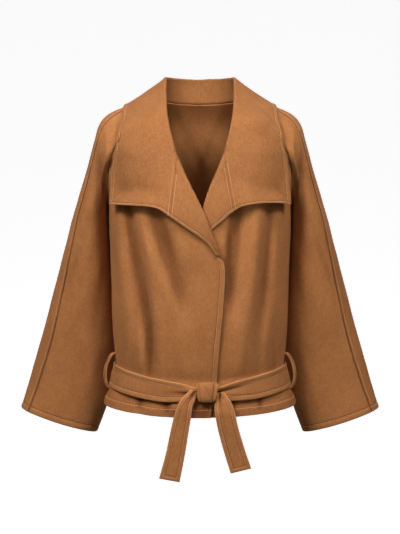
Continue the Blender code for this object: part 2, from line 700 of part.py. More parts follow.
def build_tails(collection):
    for name, table in (("belt_tail_right", TAIL_RIGHT), ("belt_tail_left", TAIL_LEFT)):
        grid = []
        for left_x, right_x, left_z, right_z, y in smooth_rows(table, TAIL_ROWS):
            left, right = np.array([left_x, y, left_z]), np.array([right_x, y, right_z])
            grid.append([left + (right - left) * t for t in (0, 0.5, 1)])
        sheet(collection, name, grid, (0, -1, 0), (), BELT_WALL)


def build_loops(collection):
    path = smooth_rows(LOOP_PATH, LOOP_ROWS)
    grid = [[(x, LOOP_Y + side * LOOP_WIDTH / 2, z) for side in (-1, 1)] for x, z in path]
    sheet(collection, "belt_loop_right", grid, (-1, 0, 0), (), LOOP_WALL)
    sheet(collection, "belt_loop_left", mirrored(grid), (1, 0, 0), (), LOOP_WALL)


def main():
    for old in list(bpy.data.objects):
        bpy.data.objects.remove(old, do_unlink=True)
    collection = bpy.data.collections.new(NAME)
    bpy.context.scene.collection.children.link(collection)
    grids, pieces = build_body(collection)
    pieces.update(build_sleeves(collection))
    build_wings(collection, grids, pieces)
    build_neck_tape(collection)
    build_belt(collection)
    build_knot(collection)
    build_tails(collection)
    build_loops(collection)


main()
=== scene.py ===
"""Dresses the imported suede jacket: cloth with its creases, turned edges, topstitching and nap.

Metres, +Z up, the wearer faces -Y. Tables and the constants of a length are in millimetres.
Tables of the fronts, lapels, collar, sleeves and carriers describe the wearer's right side,
where x is negative, and the left side mirrors them. The knot and the belt's ends lie as given.
"""

import functools
import math

import bmesh
import bpy
import numpy as np
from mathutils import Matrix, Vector, noise
from mathutils.bvhtree import BVHTree


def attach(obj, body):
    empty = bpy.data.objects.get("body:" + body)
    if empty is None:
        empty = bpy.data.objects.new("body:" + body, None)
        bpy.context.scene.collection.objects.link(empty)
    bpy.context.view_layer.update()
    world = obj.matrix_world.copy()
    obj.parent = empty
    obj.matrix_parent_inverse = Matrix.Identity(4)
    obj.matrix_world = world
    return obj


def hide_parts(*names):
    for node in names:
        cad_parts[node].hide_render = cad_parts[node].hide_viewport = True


bl_info = {
    "name": "Suede jacket",
    "version": (1, 0, 0),
    "blender": (4, 5, 0),
    "location": "View3D > Sidebar > Jacket",
    "description": "Builds the cloth, seams and finish of a suede tie-belt jacket",
    "category": "Object",
}

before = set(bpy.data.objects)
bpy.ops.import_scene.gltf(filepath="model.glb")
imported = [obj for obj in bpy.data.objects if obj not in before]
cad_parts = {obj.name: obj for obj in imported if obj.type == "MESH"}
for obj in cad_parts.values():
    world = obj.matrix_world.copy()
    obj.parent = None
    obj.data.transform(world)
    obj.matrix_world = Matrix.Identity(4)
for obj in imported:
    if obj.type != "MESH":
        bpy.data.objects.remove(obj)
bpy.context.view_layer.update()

MM = 0.001
FLIP = {"right": 1.0, "left": -1.0}

# The body's sections, its seams at neck and underarm, and the cuffs' lowest part.
ROUNDNESS = 2.2
NECK_Z = 2
NECK_DIP = 6.0
BACK_NECK_X = 90.0
UNDERARM_Z = -208
CUFF_DIP = 3.0
FRONT_FACING = (-0.6, -1, 0)

# Collar and lapels: their stand, roll and fall, how they clear the cloth beneath them, and counts
# of rows of their tables. WING_STEPS fine rows make up one of these.
CORE = np.array([0.0, 0.0, -60.0])
STAND_SHARES = (0.0, 0.12, 0.3, 0.5, 0.7, 0.88)
FOLD_TURNS = np.radians((-90, -67, -44, -22, 0, 22, 44, 67, 90))
FALL_START = len(STAND_SHARES) + len(FOLD_TURNS) - 1
FALL_POINTS = 31
FALL_FINE = 26
FOLD_RADIUS = 3.4
TIP_RADIUS = 2.3
UNDER_LAYER = 4.0
BEND_MAX = 12.0
SAG = 0.03
LAPEL_CLEAR = 3.2
COLLAR_CLEAR = 3.6
COLLAR_THICKER = 1.15
NECK_STEP = 0.4
WING_STEPS = 10
GORGE_ROWS = 4
TRIM_ROWS = 9
LAPEL_ROWS = 12
SEARCH_ROWS = 17
TWIN_GAP = 3.6

# Belt, knot, carriers and neck tape.
BELT_WALL = 3.2
BELT_CLEAR = 1.3
BELT_OVER_LAP = 4.7
BELT_Z = -547.0
BELT_HALF_SIDE = 23.0
BELT_HALF_KNOT = 17.5
# How the belt draws the body in: z, half width, depth, share that is missing at the sides.
DRAWN_IN = ((-523, 5, 1.2, 0.0), (-580, 8, 5.5, 0.7))
KNOT_SIZE = (43.0, 16.5, 39.0)
KNOT_CENTRE = np.array([13.5, -131.7, -571.5])
KNOT_TURNS = 96
KNOT_STATIONS = 41
KNOT_ROUNDNESS = 2.9
KNOT_TAPER = 0.28
KNOT_LEAN = 0.05
LOOP_WIDTH = 12.0
LOOP_WALL = 2.4
LOOP_SLANT = 0.55
LOOP_Y = -9.0
TAPE_WALL = 1.2
TAPE_INSIDE = 3.9
TAPE_DROPS = (10, 9.4, 8.4, 7.6, 6, 4, 2.4, 1.6, 0.6, 0)
# Gathers across the belt at its knot, and ridges across its ends: place as a share of half the
# width, half width, rise.
BELT_GATHERS = ((0.5, 0.34, 6.0), (-0.55, 0.36, 6.0), (0.0, 0.12, -4.0))
TAIL_RIDGES = ((-0.35, 0.4, 3.6), (0.28, 0.16, -1.6), (0.75, 0.3, 2.2))
# Painted shade in folds of the hem, below the belt: x and half width.
HEM_FOLDS = ((-116, 9), (-64, 12))

# Finish: heights and widths of edges and seams, weights and widths of shades.
EDGE_ROLL, STITCH_SINK, RIM_DROP, RIM_WIDTH = 0.45, 0.75, 0.8, 1.1
SEAM_DEPTH, SEAM_WIDTH = 1.5, 1.5
ALLOWANCE_RISE, ALLOWANCE_MIDDLE, ALLOWANCE_WIDTH = 0.45, 4.2, 2.6
THREAD_LIFT = 0.12
FOLD_SHADE, GROOVE_SHADE, LAP_SHADE = 0.62, 0.5, 0.55
SEAM_SHADE_WIDTH, WORN_WIDTH = 1.3, 1.6
# The least share of its flat size that a cloth may fill.
LEAST_FILL = 0.301

# Distances from a plain end, from a seam, and shares of a margin from a turned edge to its
# stitches, where points lie.
PLAIN_STEPS = (0, 2.0)
SEAM_STEPS = (0, 0.8, 1.8, 3.2, 5.0, 7.5)
EDGE_SHARES = (0, 0.06, 0.15, 0.32, 0.68, 0.88, 1, 1.12, 1.32)
STITCH_STEP = EDGE_SHARES.index(1)
# Points that lie between those near both ends, and points of the grids that they are taken from.
FRONT_POINTS, BACK_POINTS, BODY_POINTS, SLEEVE_POINTS = 44, 84, 116, (38, 104)
TIE_POINTS, TAIL_POINTS = 7, 80
FRONT_FINE, BACK_FINE, SLEEVE_FINE = 90, 150, (150, 80)

# Clouds of the nap, patches, mottle and fibres: scale, detail, stretch. Colour multiplied in as
# painted shade.
NAP_CLOUDS = ((26.0, 3.0, 0.6), (150.0, 3.0, 0.75), (400.0, 2.0, 0.6))
PAINTED_SHADE_COLOUR = (0.3, 0.22, 0.17, 1)

# Soft lamps, in metres: name, place, width, height, spread in degrees, power.
SOFT_LAMPS = (
    ("key", (-1.5, -1.85, 1.9), 1.0, 1.0, 50, 8.7),
    ("second", (1.45, -1.85, 1.9), 1.0, 1.0, 50, 6.6),
    ("front", (0.0, -3.0, 0.5), 2.0, 0.5, 180, 9.0))
SOFT_TARGET = (0, 0, -0.3)
# Lamps that light the inside of the neck: place, spread in degrees, softness, power.
NECK_LAMPS = (((-0.15, -2.2, -0.8), 4.8, 0.14, 155.0), ((0.15, -2.2, -0.8), 4.8, 0.14, 155.0))
NECK_TARGET = (0, 0.1, -0.035)
# The backdrop's y and z. The camera's place, and half its view and its aim's drop at a distance.
BACKDROP = ((4.0, -1.9), (4.5, -1.83), (4.8, -1.5), (4.9, -1.0), (4.9, 5.0))
EYE = (0, -2.75, -0.28)
VIEW_HALF, VIEW_DROP, VIEW_FOCUS = 267, 27, 1375

TORSO_COLUMNS = ("z", "drop", "seam_x", "seam_front", "seam_back", "front", "back")
TORSO = np.array([
    (-606, 14, 192, 0, 0, 128, 121),
    (-592, 17, 189, 0, 0, 125.5, 118.5),
    (-581, 20, 184.5, 0, 0, 122, 115),
    (-572, 23, 178.5, 0, 0, 118.5, 111.5),
    (-547, 28, 173.5, 0, 0, 114, 108),
    (-524, 28, 168, 0, 0, 113, 107),
    (-500, 23, 170, 0, 0, 118, 110),
    (-460, 15, 174, 0, 0, 123, 114),
    (-400, 7, 176, 0, 0, 126, 117),
    (-320, 2, 178, 0, 0, 127, 120),
    (-250, 0, 181, 0, 0, 127, 121),
    (-208, 0, 182, 0, 0, 126, 121),
    (-190, 0, 182, 28, 32, 125.5, 121),
    (-165, 0, 181, 50, 54, 124, 121),
    (-128, 0, 177, 66, 74, 120, 119),
    (-108, 0, 168, 79, 86, 116.5, 117),
    (-60, 0, 140, 86, 93, 104, 109),
    (-30, 0, 116, 64, 82, 86, 99),
    (-10, 0, 100, 38, 60, 62, 84),
    (2, 0, 90, 22, 32, 42, 66),
])
BODY_LEVELS = np.linspace(TORSO[0, 0], NECK_Z, 180)

# Inner edge of each front, z and x: the front edge, then the lapel's return, then the neck seam.
RIGHT_EDGE = ((-608, 20), (-545, 30), (-478, 35), (-413, 42), (-341, 46), (-325, 44.3), (-317, 42))
LEFT_EDGE = ((-608, 45), (-400, 42), (-340, 33), (-311, 17), (-290, 9), (-281.5, -1.5))
NECK_SEAM = ((-98, -58), (-84, -62), (-68, -66), (-52, -70), (-34, -74), (-14, -79), (NECK_Z, -84))
SLEEVE_NECK = (-85.5, 4.0, 8.3)

# How far the right front stands out where it laps over the left one, z and lift.
LAP_LIFT = (
    (-608, 4.5), (-505, 4.5), (-430, 7), (-350, 8), (-305, 10.5), (-260, 12.5), (-225, 12),
    (-190, 8.5), (-150, 4), (-110, 1), (NECK_Z, 0))
LAP_START, LAP_FULL = -122.0, -62.0
# The least it stands out past OVER_BLEND. The left front is smooth past UNDER_BLEND.
LAP_CLEAR = 3.4
OVER_BLEND, UNDER_BLEND = (-66, -48), (-64, -46)

# Soft folds: top x and z, low x and z, half width, height (a trough is negative).
RIGHT_FOLDS = (
    (-146, -214, -98, -510, 15, -5), (-112, -205, -84, -440, 13, 4.5),
    (-84, -205, -54, -340, 14, -4.5), (-117, -420, -112, -518, 10, 3),
    (-160, -230, -134, -500, 11, 3))
LEFT_FOLDS = (
    (-112, -205, -92, -420, 14, 5), (-64, -215, -60, -430, 15, -5),
    (-136, -210, -128, -450, 13, -3.5), (-146, -430, -140, -520, 9, -3),
    (-84, -420, -80, -518, 11, 3))
BACK_FOLDS = (
    (-124, -150, -104, -520, 16, -4.5), (-64, -230, -58, -518, 14, 4),
    (-16, -170, -10, -520, 18, -5), (34, -280, 30, -518, 13, 4), (84, -180, 72, -520, 16, -5),
    (130, -230, 116, -518, 12, 3.5))

# Longer folds that bend on their way, each a line of x and z, a half width and a height.
RIGHT_DRAPE = (
    (((-146, -175), (-140, -231), (-126, -297), (-113, -358), (-100, -436), (-99, -534),
        (-99, -600)), 9.5, -8.0),
    (((-128, -180), (-110, -232), (-94, -298), (-71, -358), (-46, -425)), 12, 4.5),
    (((-106, -180), (-87, -240), (-68, -300), (-50, -350), (-30, -430)), 23, -9.0),
    (((-164, -190), (-157, -240), (-152, -330), (-146, -450)), 11, 3.0),
    (((-116, -450), (-115, -490), (-115, -540)), 4.5, 3.2),
    (((-60, -400), (-52, -460), (-46, -540)), 10, -2.4),
    (((-22, -420), (-16, -470), (-10, -540)), 9, 2.2))
LEFT_DRAPE = (
    (((-84, -170), (-71, -231), (-63, -285), (-54, -350), (-48, -430)), 14, -9.0),
    (((-112, -170), (-107, -232), (-100, -320), (-90, -400), (-80, -500)), 14, 4.5),
    (((-142, -180), (-136, -232), (-127, -320), (-122, -380), (-115, -450),
        (-112, -545)), 9, -5.5),
    (((-156, -190), (-150, -250), (-143, -340), (-136, -440)), 9, 3.2),
    (((-146, -490), (-144, -515), (-143, -545)), 4.5, -4.5),
    (((-72, -420), (-70, -480), (-70, -540)), 8, 2.4))

# Small creases over them, gathers above and below the belt among them.
RIGHT_CREASES = (
    (-152, -455, -147, -545, 5.5, -2.2), (-133, -470, -130, -545, 4.5, 1.4),
    (-96, -430, -96, -548, 7, -4.0), (-66, -465, -62, -548, 5, -1.6),
    (-40, -430, -33, -548, 7, 1.6), (-18, -480, -12, -548, 4.5, -1.5),
    (10, -450, 12, -548, 5, 1.2), (-165, -300, -158, -420, 8, -1.8),
    (-128, -250, -112, -360, 6, 1.1), (12, -320, 22, -460, 7, 1.2),
    (-150, -560, -156, -612, 8, -1.6), (-118, -560, -121, -622, 8, -5.0),
    (-92, -562, -93, -618, 8, 2.0), (-64, -562, -62, -626, 9, -4.5),
    (-36, -570, -35, -622, 8, 1.4))
LEFT_CREASES = (
    (-156, -450, -150, -545, 5, -2.0), (-118, -462, -116, -545, 5.5, -2.2),
    (-100, -470, -99, -545, 4, 1.2), (-70, -452, -66, -548, 6, -1.8),
    (-44, -470, -40, -548, 5, 1.4), (-28, -440, -26, -548, 5, -1.6),
    (-160, -310, -152, -430, 8, 1.6), (-100, -300, -92, -400, 7, -1.2),
    (-40, -300, -36, -450, 8, 1.5), (-20, -340, -22, -470, 6, -1.2),
    (-140, -560, -146, -612, 8, 1.7), (-92, -562, -96, -614, 7, -1.8),
    (-50, -566, -50, -618, 8, 1.3))
BACK_CREASES = (
    (-150, -440, -146, -545, 6, -2.0), (-86, -455, -84, -545, 5, 1.6),
    (-40, -430, -38, -545, 6, -2.0), (12, -460, 10, -545, 5, 1.4), (56, -440, 54, -545, 6, -2.2),
    (104, -450, 100, -545, 5, 1.5), (148, -430, 144, -545, 6, -1.8),
    (-120, -90, -60, -150, 12, 1.6), (122, -92, 66, -148, 12, 1.4),
    (-90, -240, -70, -360, 9, -1.5), (60, -260, 76, -380, 9, 1.5),
    (-130, -560, -134, -612, 8, 1.6), (-50, -562, -52, -612, 8, -1.6),
    (40, -562, 42, -612, 8, 1.5), (118, -560, 122, -612, 8, -1.6))
SLEEVE_CREASES = (
    (-206, -40, -196, -190, 9, -1.6), (-196, -150, -262, -330, 10, 1.8),
    (-214, -230, -284, -420, 11, -2.2), (-206, -330, -290, -560, 13, 2.0),
    (-232, -420, -316, -600, 10, -1.8), (-186, -300, -214, -480, 8, -1.8),
    (-196, -480, -246, -640, 9, 1.6), (-282, -300, -322, -470, 7, 1.2),
    (-163, -36, -161, -118, 5, -3.2), (-184, -40, -175, -190, 5, 3.0),
    (-150, -30, -148, -80, 6, 1.8), (-197, -110, -201, -250, 13, -4.0))
SLEEVE_BACK_CREASES = (
    (-208, -60, -230, -220, 10, -1.8), (-200, -190, -270, -330, 11, 2.2),
    (-206, -280, -286, -370, 9, -2.4), (-200, -350, -292, -470, 12, 2.0),
    (-226, -450, -318, -590, 11, -2.0), (-190, -420, -232, -600, 9, 1.8),
    (-150, -50, -190, -150, 10, 1.4))

# A lapel row has the roll line's x and z, the outer edge's x and z, and the edge's stand off.
RIGHT_LAPEL = (
    (38.8, -308.5, 33, -310.5, 2.4), (29, -284, 16, -289.5, 4), (20, -258, -3, -273.5, 6.5),
    (13, -239, -22, -260.5, 8.5), (4, -219, -42, -246.5, 11), (-5.5, -200, -62, -232, 14),
    (-15, -181, -83, -219.5, 18), (-24, -162, -106, -215, 21), (-32, -145, -127, -213.5, 23),
    (-39.5, -127, -148, -212.5, 25), (-46, -110, -166, -211.5, 30))
LEFT_LAPEL = (
    (7, -276, -2, -280, 4.5), (4, -262, -11, -274.5, 5), (1, -248, -20, -264.5, 5),
    (-3, -230, -32, -252.5, 6.5), (-6.5, -214, -46, -241, 9), (-12, -195, -62, -226, 12),
    (-20, -174, -82, -216, 16), (-28, -156, -104, -211.5, 20), (-35, -140, -124, -209, 22),
    (-41, -125, -146, -208.5, 25), (-46, -110, -164, -209, 29))
LAPEL_FOLD_LIFT = 1.6
# The seams between lapel and collar, upper and lower x and z.
GORGE = {"right": ((-43.5, -117), (-57.5, -237)), "left": ((-45.5, -117), (-65.5, -227))}
# Each front: inner edge, lapel, folds, the drop over which its edge leaves the lapel, and the x
# over which its folds' shades end.
FRONTS = {
    "right": (RIGHT_EDGE, RIGHT_LAPEL, RIGHT_FOLDS + RIGHT_CREASES, RIGHT_DRAPE, (303, 313),
              (-30, 0)),
    "left": (LEFT_EDGE, LEFT_LAPEL, LEFT_FOLDS + LEFT_CREASES, LEFT_DRAPE, (285, 305),
             (-44, -26)),
}

# A collar row has the fold's x, y and z and the outer edge's x, y and z.
COLLAR = np.array([
    (-49, -119, -99, -177.7, -78, -211),
    (-53, -115, -84, -175, -78, -187),
    (-57, -109, -68, -172.5, -80, -163),
    (-60, -101, -52, -169.7, -83, -140),
    (-63, -88, -34, -166, -85, -116),
    (-65, -68, -14, -161, -86, -90),
    (-66, -42, 8, -156, -78, -63),
    (-66.5, -18, 28, -152, -52, -36),
    (-66, 8, 44, -151, 4, -13),
    (-58, 34, 47, -133, 68, -34),
    (-48, 45, 47.3, -108, 96, -46),
    (-26, 56, 47.4, -58, 117, -59),
    (0, 60, 47, 0, 122, -64),
])

# Sleeve rings, neck to cuff.
SLEEVE_COLUMNS = ("over_x", "over_z", "under_x", "under_z", "mid_y", "half_depth")
SLEEVE = np.array([
    (-85.5, 8.3, -182, -208, 4, 84),
    (-112, 1, -182.4, -211, 4, 83),
    (-140, -7, -182.8, -214, 5, 81),
    (-166, -16.5, -183.0, -217, 6, 79),
    (-184.5, -27.6, -183.0, -220, 8, 77),
    (-198.5, -44, -182.8, -223, 10, 76),
    (-207.5, -67, -182.6, -226, 13, 75),
    (-220, -109, -182.2, -230, 17, 74),
    (-234, -160, -181.8, -236, 22, 73),
    (-252, -219, -181.4, -250, 27, 72),
    (-277.5, -312, -178.5, -330, 36, 68),
    (-298.5, -389, -172, -412, 45, 63),
    (-320.5, -470, -169.5, -500, 53, 57),
    (-342, -540, -179.5, -576, 58, 51),
    (-356.5, -591, -195.5, -631, 60, 47),
    (-366.3, -621, -211.5, -671, 60, 45),
])
RAGLAN_ROWS = (UNDERARM_Z, -184, -158, -129, -98, -66, -37, -14, NECK_Z)
CAP_RINGS = 9
LOWER_RINGS = 10
LOWER_SHARES = (0, 0.05, 0.15, 0.28, 0.42, 0.56, 0.7, 0.83, 0.94, 1.0)
RAGLAN_BLEND = (1.0, 0.86, 0.7, 0.53, 0.37, 0.23, 0.12, 0.04)
# Overarm seam: ring, and its turn forward from the ring's top in degrees.
SLEEVE_SEAM_TURN = (
    (0, 8), (2.5, 31), (4, 38), (5.5, 46), (7.5, 51), (10.5, 50), (12.5, 48), (18, 39))
NECK_END_SHARE = 0.085

# Belt tails, top to end: left and right x, left and right z, and the good side's depth.
TAILS = {"right": np.array([
    (-17, -5.6, -566, -572, -127.9), (-30, -9, -577, -585, -131.8),
    (-39, -14, -588, -596, -136.5), (-47, -16, -607, -611, -140),
    (-54, -20.5, -634, -638, -139.5), (-65, -29, -686, -691, -138.5),
    (-78.2, -39, -734.5, -742, -138.5),
]), "left": np.array([
    (32.6, 44, -578, -569, -127.9), (29, 54, -588, -581, -131.8),
    (27, 62, -600, -594, -136.5), (29, 67, -614, -610, -140),
    (33, 72, -636, -633, -139.5), (45, 84.5, -682, -676, -138.5),
    (58.5, 97.8, -725, -715.5, -138.5),
])}
# The knot's rolled sides: place across and girth, as shares.
KNOT_END = ((-0.80, 0.0), (-0.82, 0.3), (-0.86, 0.55), (-0.93, 0.72), (-0.985, 0.86))
# Its creases: x, lean, half width, depth, shade, the shade's half width and its limit in z.
KNOT_CREASES = (
    (11.5, 0.08, 1.6, 1.5, 0.6, 1.3, 99), (-14.5, -0.1, 1.8, 0.9, 0.4, 1.3, 99),
    (2.0, -0.5, 2.4, 0.8, 0.22, 1.8, 14))
# A belt carrier's middle line, x and z.
LOOP_PATH = (
    (-171.6, -504), (-177, -508), (-183, -518), (-188.5, -533), (-190.3, -548), (-189.5, -560),
    (-186.5, -569), (-182, -576))


# Curves and grids.

def spline(stations, values, at):
    """Values at the given stations, through the table's rows without overshoot."""
    knots = np.asarray(stations, float)
    rows = np.asarray(values, float).reshape(len(knots), -1)
    at = np.clip(np.atleast_1d(np.asarray(at, float)), knots[0], knots[-1])
    step = np.diff(knots)[:, None]
    slope = np.diff(rows, axis=0) / step
    before, after = slope[:-1], slope[1:]
    total = before + after
    safe = np.where(np.abs(total) < 1e-12, 1.0, total)
    inner = np.where(before * after > 0, 2 * before * after / safe, 0.0)
    tangent = np.vstack([slope[:1], inner, slope[-1:]])
    low = np.clip(np.searchsorted(knots, at, side="right") - 1, 0, len(knots) - 2)
    width = step[low]
    t = ((at - knots[low]) / width[:, 0])[:, None]
    ease = t * t * (3 - 2 * t)
    enter = t * (1 - t) ** 2
    leave = t * t * (t - 1)
    return (rows[low] * (1 - ease) + rows[low + 1] * ease
            + tangent[low] * enter * width + tangent[low + 1] * leave * width)


def smooth_rows(rows, count):
    """The table resampled to count rows, evenly between its first and last."""
    rows = np.asarray(rows, float)
    return spline(np.arange(len(rows)), rows, np.linspace(0, len(rows) - 1, count))


def lookup(table, at):
    table = np.asarray(table, float)
    return float(spline(table[:, 0], table[:, 1], at)[0, 0])


def ramp(value, low, high):
    t = np.clip((value - low) / (high - low), 0.0, 1.0)
    return t * t * (3 - 2 * t)


def bell(offset, width, power=2):
    """One where there is no offset, fading away over the width."""
    return np.exp(-(offset / width) ** power)


def unit(vector):
    return vector / max(float(np.linalg.norm(vector)), 1e-9)


def fair_curve(knots, points, at):
    """A curve through the points whose bend changes steadily."""
    step = np.diff(knots)
    count = len(knots)
    left = np.eye(count)
    right = np.zeros_like(points)
    slope = np.diff(points, axis=0) / step[:, None]
    for index in range(1, count - 1):
        left[index, index - 1:index + 2] = (step[index - 1], 2 * (step[index - 1] + step[index]),
                                            step[index])
        right[index] = 6 * (slope[index] - slope[index - 1])
    bend = np.linalg.solve(left, right)
    low = np.clip(np.searchsorted(knots, at, side="right") - 1, 0, count - 2)
    width = step[low][:, None]
    t = ((at - knots[low]) / step[low])[:, None]
    return ((1 - t) * points[low] + t * points[low + 1]
            + width ** 2 / 6 * (((1 - t) ** 3 - (1 - t)) * bend[low]
                                + (t ** 3 - t) * bend[low + 1]))


def fair_grid(grid, rows, columns):
    """A coarse grid of points filled in smoothly to rows by columns."""
    for axis, count in ((0, rows), (1, columns)):
        lines = np.moveaxis(grid, axis, 0)
        chord = np.linalg.norm(np.diff(lines, axis=0), axis=-1).mean(axis=1)
        knots = np.concatenate([[0], np.cumsum(np.maximum(chord, 1e-6))])
        flat = lines.reshape(len(lines), -1)
        filled = fair_curve(knots, flat, np.linspace(0, knots[-1], count))
        grid = np.moveaxis(filled.reshape(count, *lines.shape[1:]), 0, axis)
    return grid


def arc(grid, axis):
    """Distance of each point of a grid along its line from the line's start."""
    lines = np.moveaxis(grid, axis, 0)
    steps = np.linalg.norm(np.diff(lines, axis=0), axis=-1)
    run = np.vstack([np.zeros((1, steps.shape[1])), np.cumsum(steps, axis=0)])
    return run if axis == 0 else run.T


def from_sides(run):
    """Distance of each point from the nearer end of its line across a grid."""
    return np.minimum(run, run[:, -1:] - run)


def spaced(grid, axis, near_start, near_end, middle, end_scale=None):
    """The grid's lines along an axis with points at set distances from both ends."""
    near_start, even_end = np.array(near_start, float), np.array(near_end, float)
    lines = np.moveaxis(grid, axis, 0)
    runs = np.moveaxis(arc(grid, axis), axis, 0)
    out = np.empty((len(near_start) + middle + len(even_end), *lines.shape[1:]))
    for index in range(lines.shape[1]):
        run = runs[:, index]
        near_end = even_end * (1.0 if end_scale is None else end_scale[index])
        need = 1.3 * (near_start[-1] + near_end[-1])
        squeeze = min(1.0, run[-1] / max(need, 1e-6))
        first, last = near_start * squeeze, run[-1] - near_end[::-1] * squeeze
        between = np.linspace(first[-1], last[0], middle + 2)[1:-1]
        at = np.concatenate([first, between, last])
        for part in range(3):
            out[:, index, part] = np.interp(at, run, lines[:, index, part])
    return np.moveaxis(out, 0, axis)


def normals_of(grid, facing):
    across = np.gradient(grid, axis=1)
    along = np.gradient(grid, axis=0)
    normal = np.cross(across, along)
    normal /= np.maximum(np.linalg.norm(normal, axis=-1, keepdims=True), 1e-9)
    middle = normal[normal.shape[0] // 2, normal.shape[1] // 2]
    return normal if np.dot(middle, facing) > 0 else -normal


def turned(form, side):
    """Points or directions of the right side, on the side that is asked for, or back."""
    return form * np.array([FLIP[side], 1.0, 1.0])


# Finishing heights, in millimetres off the plain cloth, and shades from 0 to 1.

def turned_edge(distance, margin):
    """A turned and topstitched edge: rounded rim, soft roll, sunk row of stitches."""
    inside = np.clip(distance / margin, 0, 1)
    return (EDGE_ROLL * np.sin(math.pi * inside) ** 0.6
            - STITCH_SINK * bell(distance - margin, RIM_WIDTH)
            - RIM_DROP * bell(distance, RIM_WIDTH))


def sewn_seam(distance):
    """A seam: a sharp valley between two slightly raised allowances."""
    return (-SEAM_DEPTH * bell(distance, SEAM_WIDTH)
            + ALLOWANCE_RISE * bell(distance - ALLOWANCE_MIDDLE, ALLOWANCE_WIDTH))


def folds_at(folds, x, z):
    """Sum of the soft folds at points."""
    height = np.zeros(np.shape(x))
    for top_x, top_z, low_x, low_z, half_width, rise in folds:
        along = (top_z - z) / (top_z - low_z)
        axis = top_x + (low_x - top_x) * along
        fade = np.sin(math.pi * np.clip(along, 0, 1)) ** 0.7
        height += rise * bell(x - axis, half_width) * fade
    return height


def drape_at(folds, x, z):
    """Sum of the folds that bend on their way, fading in and out at their ends."""
    height = np.zeros(np.shape(x))
    for line, half_width, rise in folds:
        line_x, line_z = np.array(line[::-1], float).T
        axis = spline(line_z, line_x, np.ravel(z)).reshape(np.shape(x))
        low, high = line_z[0], line_z[-1]
        fade = ramp(z, low - 12, low + 0.3 * (high - low)) * ramp(-z, -high - 10, -high + 35)
        height += rise * fade * bell(x - axis, half_width)
    return height


def drawn_in(x, z):
    """The belt draws the body in, above and below itself, less so at the sides."""
    sides = ramp(np.abs(x), 135, 170)
    return -sum(depth * bell(z - at, width) * (1 - less * sides)
                for at, width, depth, less in DRAWN_IN)


def hollow_shade(height, shallow, deep):
    """Painted shade of a fold, from the fold's height."""
    return FOLD_SHADE * ramp(-height, shallow, deep)


def groove_shade(distance, margin, beyond=1.12):
    """Painted shade just past a row of stitches, which lies at the margin."""
    return GROOVE_SHADE * bell(distance - margin * beyond, 1.0)


def under_belt(x, z):
    """Painted shadow below the belt, most of all near its knot, and painted shade in the hem's
    folds.
    """
    belt_shadow = (0.4 + 0.6 * bell(x + 5, 60)) * bell(z + 588, 13)
    hem_fold_shade = sum(bell(x - at, width) for at, width in HEM_FOLDS)
    return np.maximum(belt_shadow, hem_fold_shade * ramp(-z, 554, 564) * (1 - ramp(-z, 584, 602)))


def beside_lap(x, z):
    """Shade on the under front, beside the edge that laps over it."""
    beside = -x - np.interp(z, *np.array(RIGHT_EDGE).T)
    return LAP_SHADE * bell(np.maximum(beside, 0), 6) * ramp(-z, 285, 330)


def unevenness(grid, seed, broad=0.8, fine=0.3):
    """Slight waves that a hand feels in hanging suede."""
    flat = grid.reshape(-1, 3)
    shift = Vector((seed * 7.3, seed * 3.1, seed * 5.7))
    values = [broad * noise.noise(Vector(point) / 52.0 + shift)
              + fine * noise.noise(Vector(point) / 17.0 - shift) for point in flat]
    return np.array(values).reshape(grid.shape[:2])


# The cut of the jacket.

def torso(z):
    row = dict(zip(TORSO_COLUMNS, spline(TORSO[:, 0], TORSO, z)[0]))
    for face in ("front", "back"):
        reach = (row["seam_" + face] / row[face]) ** ROUNDNESS
        row["span_" + face] = row["seam_x"] / (1 - reach) ** (1 / ROUNDNESS)
    return row


def surface_depth(x, z, face):
    row = torso(z)
    share = min(abs(x) / row["span_" + face], 1.0)
    return row[face] * (1 - share ** ROUNDNESS) ** (1 / ROUNDNESS)


def section_angle(x, span):
    share = min(abs(x) / span, 1.0) ** (ROUNDNESS / 2)
    return math.acos(share if x < 0 else -share)


def body_points(angles, z, face, lift):
    """Points of one row of the body at the angles, moved out by lift."""
    row = torso(z)
    span, depth = row["span_" + face], row[face]
    sign, droop = (-1, row["drop"]) if face == "front" else (1, 0.0)
    cosine, sine = np.cos(angles), np.abs(np.sin(angles))
    x = -span * np.copysign(np.abs(cosine) ** (2 / ROUNDNESS), cosine)
    reach = depth * sine ** (2 / ROUNDNESS)
    out = np.column_stack([x / span ** 2, sign * reach / depth ** 2, np.zeros_like(x)])
    out /= np.maximum(np.linalg.norm(out, axis=1, keepdims=True), 1e-12)
    points = np.column_stack([x, sign * reach, z - droop * (reach / depth) ** 2])
    return points + out * lift(x, np.full(len(x), float(z)))[:, None]


def body_row(z, start_x, end_x, face, count, lift):
    span = torso(z)["span_" + face]
    angles = np.linspace(section_angle(start_x, span), section_angle(end_x, span), count)
    return body_points(angles, z, face, lift)


def lap_lift(x, z):
    return np.array([lookup(LAP_LIFT, height) for height in np.atleast_1d(z)]) * ramp(
        x, LAP_START, LAP_FULL)


def raised(point, tree, clear, blend=2.5):
    """The point moved out, where it must be, to clear the cloth beneath it."""
    spot, normal, _, _ = tree.find_nearest(Vector(point * MM))
    height = (Vector(point * MM) - spot).dot(normal) / MM
    wanted = (height + clear + math.sqrt((height - clear) ** 2 + blend ** 2)) / 2
    return point + np.array(normal) * (wanted - height)


